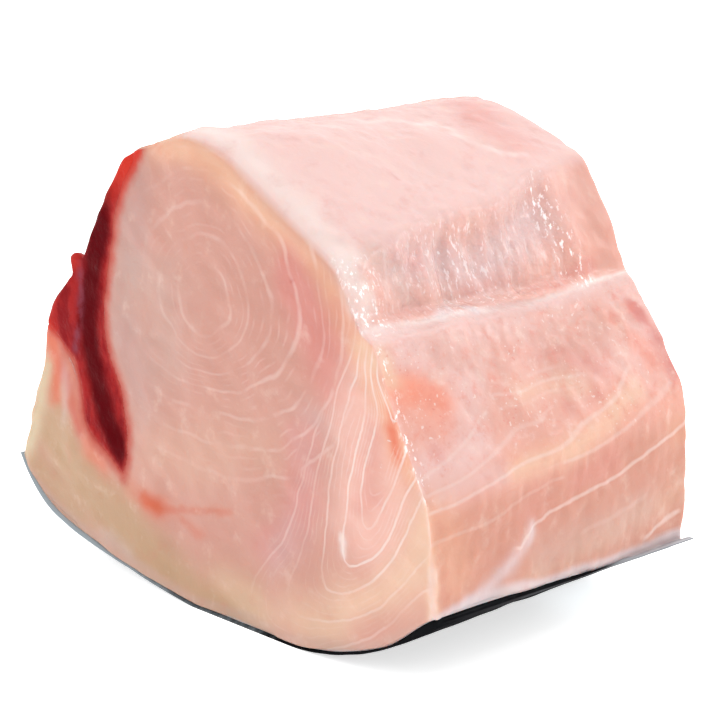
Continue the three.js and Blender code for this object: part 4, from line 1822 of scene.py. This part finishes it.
@dataclass
class BloodLine:
    """The dark blood line: a crescent carried through the block from face to face.

    Attributes:
        band: its shape across the fish.
        muscle: the block that its outer side is part of.
        marks: (across, up) where the outer side starts on the block's outline and where it
            leaves it.
        rows, near_steps, side_steps, far_steps: fineness.
        proud: how far it stands out from the muscle.
        tuck: how far its edge dives under the muscle.
        sunk: how deep its upper end lies in the muscle.
        rounding: of the edges round the cut faces, in millimetres.
        knob: (across, share, up) of the small tag of flesh on its outer side.
        knob_height, knob_reach: how far the tag stands out, and how far it spreads.
        knob_way: which way it stands.
    """

    band: Band
    muscle: Muscle
    marks: Places = ((-30.0, 94.9), (-82.3, 51.0))
    rows: int = 150
    near_steps: int = 30
    side_steps: int = 84
    far_steps: int = 18
    proud: float = 0.05
    tuck: float = 1.1
    sunk: float = 3.2
    rounding: float = 1.5
    knob: Place = (-66.2, 0.02, 66.4)
    knob_height: float = 5.2
    knob_reach: float = 3.7
    knob_way: Place = (-0.72, -0.05, 0.69)

    def outer(self, t: np.ndarray, share: np.ndarray) -> tuple[np.ndarray, np.ndarray]:
        """The band's outer side: down the block's outline, then down the belly side to the tip.

        Args:
            t: how far down, 0 to 1.
            share: where along the fish, in the same shape.

        Returns:
            (x, z), and how much of the outline's own surface it is, 1 to 0.
        """
        block = self.band.block
        near = self.muscle.outlines[0]
        found = [int(np.argmin(np.linalg.norm(near - mark, axis=1)))
                 for mark in block.cut(self.marks)]
        exposed = near[found[0]:found[1] + 1]
        belly = curve(block.cut(self.band.belly_side), 60)
        inside = belly[np.argmin(np.linalg.norm(belly - exposed[-1], axis=1)) + 1:]
        run = np.vstack([exposed, inside])
        reach = run_length(run)
        reach /= reach[-1]
        turn = reach[len(exposed) - 1]
        place = np.interp(t, reach, np.arange(len(run)))
        index = np.clip(place, 0, len(exposed) - 1) + found[0]
        on = self.muscle.outline_at(share, index)
        drift = share[..., None] * np.array(self.band.drift)
        deep = read(np.arange(len(run)), run, place)
        on_block = (t <= turn)[..., None]
        return np.where(on_block, on, deep + drift), ease(turn + 0.03, turn - 0.02, t)

    def _loop(self) -> tuple[np.ndarray, np.ndarray, np.ndarray]:
        """One row's loop, which is the same for every row.

        It runs across the near face from the outer side to the inner side, along the inner side
        to the far face, back across it, and back along the outer side, with rounded edges.

        Returns:
            For each point of the loop, how far over to the inner side it is, 0 to 1; its share
            of the length; and how far the rounding pulls it in, in millimetres.
        """
        length = self.band.block.length
        inner = np.linspace(0, 1, 8)[1:-1]
        quarter = np.linspace(0, math.pi / 2, 4)[1:]
        start = 1.2 * self.rounding / length
        back = np.linspace(1 - start, start, self.side_steps)
        depth = self.rounding * (1 - np.cos(quarter)) / length
        over = np.r_[
            np.linspace(0, 1, self.near_steps), np.ones(len(inner)),
            np.linspace(1, 0, self.far_steps), np.zeros(2 * len(quarter) + len(back)),
        ]
        share = np.r_[
            np.zeros(self.near_steps), inner, np.ones(self.far_steps),
            1 - depth, back, depth[::-1],
        ]
        drawn = self.rounding * (1 - np.sin(quarter))
        flat = np.zeros(self.near_steps + len(inner) + self.far_steps)
        return over, share, np.r_[flat, drawn, np.zeros(len(back)), drawn[::-1]]

    def _rows(self) -> tuple[np.ndarray, np.ndarray]:
        """The loops of the plain crescent, from its upper end to its blunt tip.

        Returns:
            (x, y, z) for each row and each point of its loop, and how much of the block's own
            surface the outer side is there, 1 to 0.
        """
        block = self.band.block
        over, share, pull = self._loop()
        share = np.broadcast_to(share, (self.rows, len(share)))
        t = np.broadcast_to(self._down(), share.shape)
        outer, exposed = self.outer(t, share)
        core = curve(block.cut(self.band.core_side[1:]), 400)
        drift = share[..., None] * np.array(self.band.drift)
        inner = read(np.linspace(0, 1, len(core)), core, t) + drift
        inner = outer + (inner - outer) * ease(0.0, 0.05, t)[..., None]
        width = np.maximum(np.linalg.norm(inner - outer, axis=2), 1e-6)
        grow = np.where((share == 0) | (share == 1), self.rounding * exposed / width, 0.0)
        left = outer + (inner - outer) * np.minimum(grow, 0.4)[..., None]
        across = left + (inner - left) * over[None, :, None]
        way = (inner - outer) / width[..., None]
        across = across + way * np.minimum(pull * exposed, 0.4 * width)[..., None]
        return stand(across, block.y(share)), exposed

    def _down(self) -> np.ndarray:
        """How far down the crescent each row is, 0 to 1."""
        return np.linspace(0.004, 0.996, self.rows)[:, None]

    def make(self, colouring: Colouring) -> bpy.types.Object:
        """Builds and dresses the piece.

        Args:
            colouring: gives the flesh colour that its edge fades into.

        Returns:
            The piece.
        """
        block = self.band.block
        over, share, _ = self._loop()
        rows, exposed = self._rows()
        base = rows.reshape(-1, 3)
        on_face = np.broadcast_to((share == 0) | (share == 1), rows.shape[:2])
        # On the cut faces the normals are set, because the crescent's loops are thin.
        squarely = np.zeros(rows.shape)
        squarely[..., 1] = np.where(share < 0.5, -1.0, 1.0)
        normals = np.where(on_face[..., None], squarely, Skinned.closed(rows).normals())
        flat_normals = normals.reshape(-1, 3)
        gap = self.band.gap(base).reshape(on_face.shape)
        up = block.up(rows[..., 2])
        dive = np.maximum(ease(-2.6, -0.4, gap), ease(90.8, 93.8, up))
        lumps = self.muscle.lumps(base, flat_normals).reshape(gap.shape)
        inner_side = (over > 0.999) & (share > 0.001) & (share < 0.999)
        buried = inner_side | ((over < 0.001) & ~on_face & (exposed < 0.5))
        shown = ease(0.0, 0.045, self._down())
        out = np.where(buried, 0.0, lumps + self.proud - self.tuck * dive) * shown
        centre = (rows[0].mean(axis=0) + rows[-1].mean(axis=0)) / 2
        centre[[0, 2]] = block.cut(self.muscle.pole)
        inward = unit(centre - rows)
        away = np.linalg.norm(rows - block.spots(self.knob), axis=2)
        lift = self.knob_height * np.exp(-((away / self.knob_reach) ** 4))
        rows = rows + normals * out[..., None] + inward * (self.sunk * (1 - shown))[..., None]
        rows = rows + lift[..., None] * np.array(self.knob_way)
        looks = self.band.looks(base, on_face.ravel().astype(float))
        raised = ease(0.3, 2.0, lift.ravel())
        looks["bright"] = np.maximum(looks["bright"], 0.35 * raised)
        looks["sheen"] = looks["sheen"] * (1 - raised)
        looks["core"] = looks["core"] + 4.0 * raised
        looks["tint"] = colouring.tint(base, flat_normals)
        piece = Skinned.closed(rows).build("blood_line_flesh", looks)
        piece.data.materials.append(BloodFinish().make())
        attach(piece, "root")
        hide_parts("blood_line")
        return piece


@dataclass
class Skin:
    """The skin under the block: a curled sheet, thickest along the near part of its right edge.

    Attributes:
        underside: its lower surface.
        across_steps, along_steps: fineness of the sheet.
        flap: how far it stands out from the muscle at the far right corner.
        flap_start: share of the length where the flap starts.
        worn: how far from each end, in millimetres, its thickness falls off.
    """

    underside: Underside
    across_steps: int = 150
    along_steps: int = 100
    flap: float = 3.0
    flap_start: float = 0.55
    worn: float = 0.9

    def make(self) -> bpy.types.Object:
        """Builds and dresses the piece.

        Each row is a closed loop at one place across the loin: along the lower surface from the
        near to the far end and back along the upper one. The rows crowd towards both long edges
        as a cosine does.

        Returns:
            The piece.
        """
        box = self.underside.box
        share = np.linspace(0, 1, self.along_steps)[None]
        turn = np.linspace(0, math.pi, self.across_steps)[:, None]
        left = self.underside.left(share)
        right = self.underside.right(share) + self.flap * ease(self.flap_start, 1.0, share)
        x = left + (right - left) * (1 - np.cos(turn)) / 2
        low = self.underside.height(x, share)
        y = box.y(share)
        places = stand(np.stack([x, low], axis=-1), y)
        thick = self.underside.cover(x, share)
        thick = thick * (0.3 + 0.7 * np.sqrt(np.clip(np.sin(turn) * 6, 0, 1)))
        ends = np.minimum(share, 1 - share) * box.length
        full = np.sqrt(np.clip(1 - (1 - ends / self.worn).clip(0, 1) ** 2, 0, 1))
        thick = thick * (0.35 + 0.65 * full)
        wave = 0.1 * Ripples(16.0, 31).at(places) * ease(20, 60, np.abs(x - 16))
        low = low + np.maximum(wave, -low)
        slope = np.gradient(low, axis=0) / np.maximum(np.gradient(x, axis=0), 1e-6)
        lean = unit(np.stack([-slope, np.ones_like(slope)], axis=-1))
        under = np.stack([x, low], axis=-1)
        over = under + lean * thick[..., None]
        rows = np.concatenate([stand(under, y), stand(over, y)[:, ::-1]], axis=1)
        # The long edges take the pale colour: partly thin skin, partly painted wet sheen.
        edge = ease(-62, -100, x) + ease(50, 84, x) * ease(0.6, 0.78, share)
        # Painted light: the cut ends are paler, most towards the left, so that their shaded end
        # faces show grey rather than near black.
        edge += (0.38 + 0.42 * ease(-5, -50, x)) * ease(2.8, 1.3, ends) * ease(50, 20, x)
        thin = np.concatenate([edge, edge[:, ::-1]], axis=1)
        shown = ease(-20, -60, x) * 0.5 + ease(80, 100, x) * ease(0.6, 0.85, share)
        hem = ease(0.6, 2.0, ends) * 0.9 * shown
        inner = np.concatenate([np.zeros_like(x), hem[:, ::-1]], axis=1)
        layers = {"thin": np.clip(thin, 0, 1).ravel(), "inner": inner.ravel()}
        piece = Skinned.closed(rows).build("skin_sheet", layers)
        piece.data.materials.append(SkinFinish().make())
        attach(piece, "root")
        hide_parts("skin")
        return piece


# ---- The studio


@dataclass(frozen=True)
class Lamp:
    """A square soft light.

    Attributes:
        name: its name.
        place: where it is, in millimetres.
        size: its side, in millimetres.
        power: in watts.
        shade: its colour, 0 to 255.
    """

    name: str
    place: Place
    size: float
    power: float
    shade: Rgb = (255, 255, 255)

    def hang(self, target: Vector) -> None:
        """Hangs the light so that it faces the target."""
        light = bpy.data.lights.new(self.name, "AREA")
        light.size = self.size * MM
        light.energy = self.power
        light.color = tuple(linear(*self.shade))
        lamp = add(self.name, light)
        lamp.location = Vector(self.place) * MM
        lamp.rotation_euler = (target - lamp.location).to_track_quat("-Z", "Y").to_euler()


@dataclass(frozen=True)
class Studio:
    """The floor, the lights and the camera.

    Attributes:
        azimuth, elevation: the camera's direction from the loin, in degrees.
        distance: from the point that it looks at, in millimetres.
        lens: focal length on a 36 mm sensor.
        target: the point that it looks at, from the middle of the block's foot.
        ambient: strength of the white surroundings.
        floor: half the width of the floor, in metres.
        lamps: the soft lights.
    """

    azimuth: float = 46.0
    elevation: float = 14.0
    distance: float = 728.0
    lens: float = 104.0
    target: Place = (4.8, 3.3, 77.7)
    ambient: float = 1.3
    floor: float = 6.0
    lamps: tuple[Lamp, ...] = (
        Lamp("key", (150, 250, 900), 700, 3.2),
        Lamp("right", (900, 200, 500), 500, 1.0),
        Lamp("front", (-300, -900, 500), 600, 2.4),
        Lamp("glint", (464, 607, 500), 60, 0.45),
    )

    def make(self) -> None:
        """Sets the whole studio up."""
        box = Block.of("skin")
        foot = (box.low + box.high) / 2
        foot[2] = box.low[2]
        target = Vector(foot + np.array(self.target)) * MM
        self._floor(foot)
        for lamp in self.lamps:
            lamp.hang(target)
        scene = bpy.context.scene
        scene.world = bpy.data.worlds.new("surroundings")
        scene.world.use_nodes = True
        background = scene.world.node_tree.nodes["Background"]
        background.inputs["Color"].default_value = (1.0, 1.0, 1.0, 1.0)
        background.inputs["Strength"].default_value = self.ambient
        scene.view_settings.view_transform = "Standard"
        self._camera(target)

    def _floor(self, foot: np.ndarray) -> None:
        """A wide plain floor just under the skin."""
        mesh = bpy.data.meshes.new("floor")
        half, height = self.floor, foot[2] * MM
        mesh.from_pydata(
            [(-half, -half, height), (half, -half, height), (half, half, height),
             (-half, half, height)], [], [(0, 1, 2, 3)])
        mesh.update()
        floor = add("floor", mesh)
        floor.data.materials.append(FloorFinish().make())

    def _camera(self, target: Vector) -> None:
        """The camera, level, looking at the target."""
        azimuth, elevation = math.radians(self.azimuth), math.radians(self.elevation)
        back = Vector((math.sin(azimuth) * math.cos(elevation),
                       -math.cos(azimuth) * math.cos(elevation), math.sin(elevation)))
        data = bpy.data.cameras.new("camera")
        data.lens = self.lens
        data.sensor_width = 36.0
        data.clip_start = 0.01
        data.clip_end = 100.0
        camera = add("camera", data)
        camera.location = target + back * self.distance * MM
        camera.rotation_euler = (-back).to_track_quat("-Z", "Y").to_euler()
        bpy.context.scene.camera = camera


def main() -> None:
    """Builds the loin and its studio."""
    logging.basicConfig(level=logging.INFO, format="%(name)s: %(message)s")
    block = Block.of("white_muscle")
    underside = Underside(Block.of("skin"))
    section = Section(block, underside)
    band = Band(block)
    colouring = Colouring(block, underside)
    muscle = Muscle(section, band)
    muscle.make(colouring, Rings(block))
    BloodLine(band, muscle).make(colouring)
    Skin(underside).make()
    Studio().make()
    log.info("boxes written")


if __name__ == "__main__":
    main()
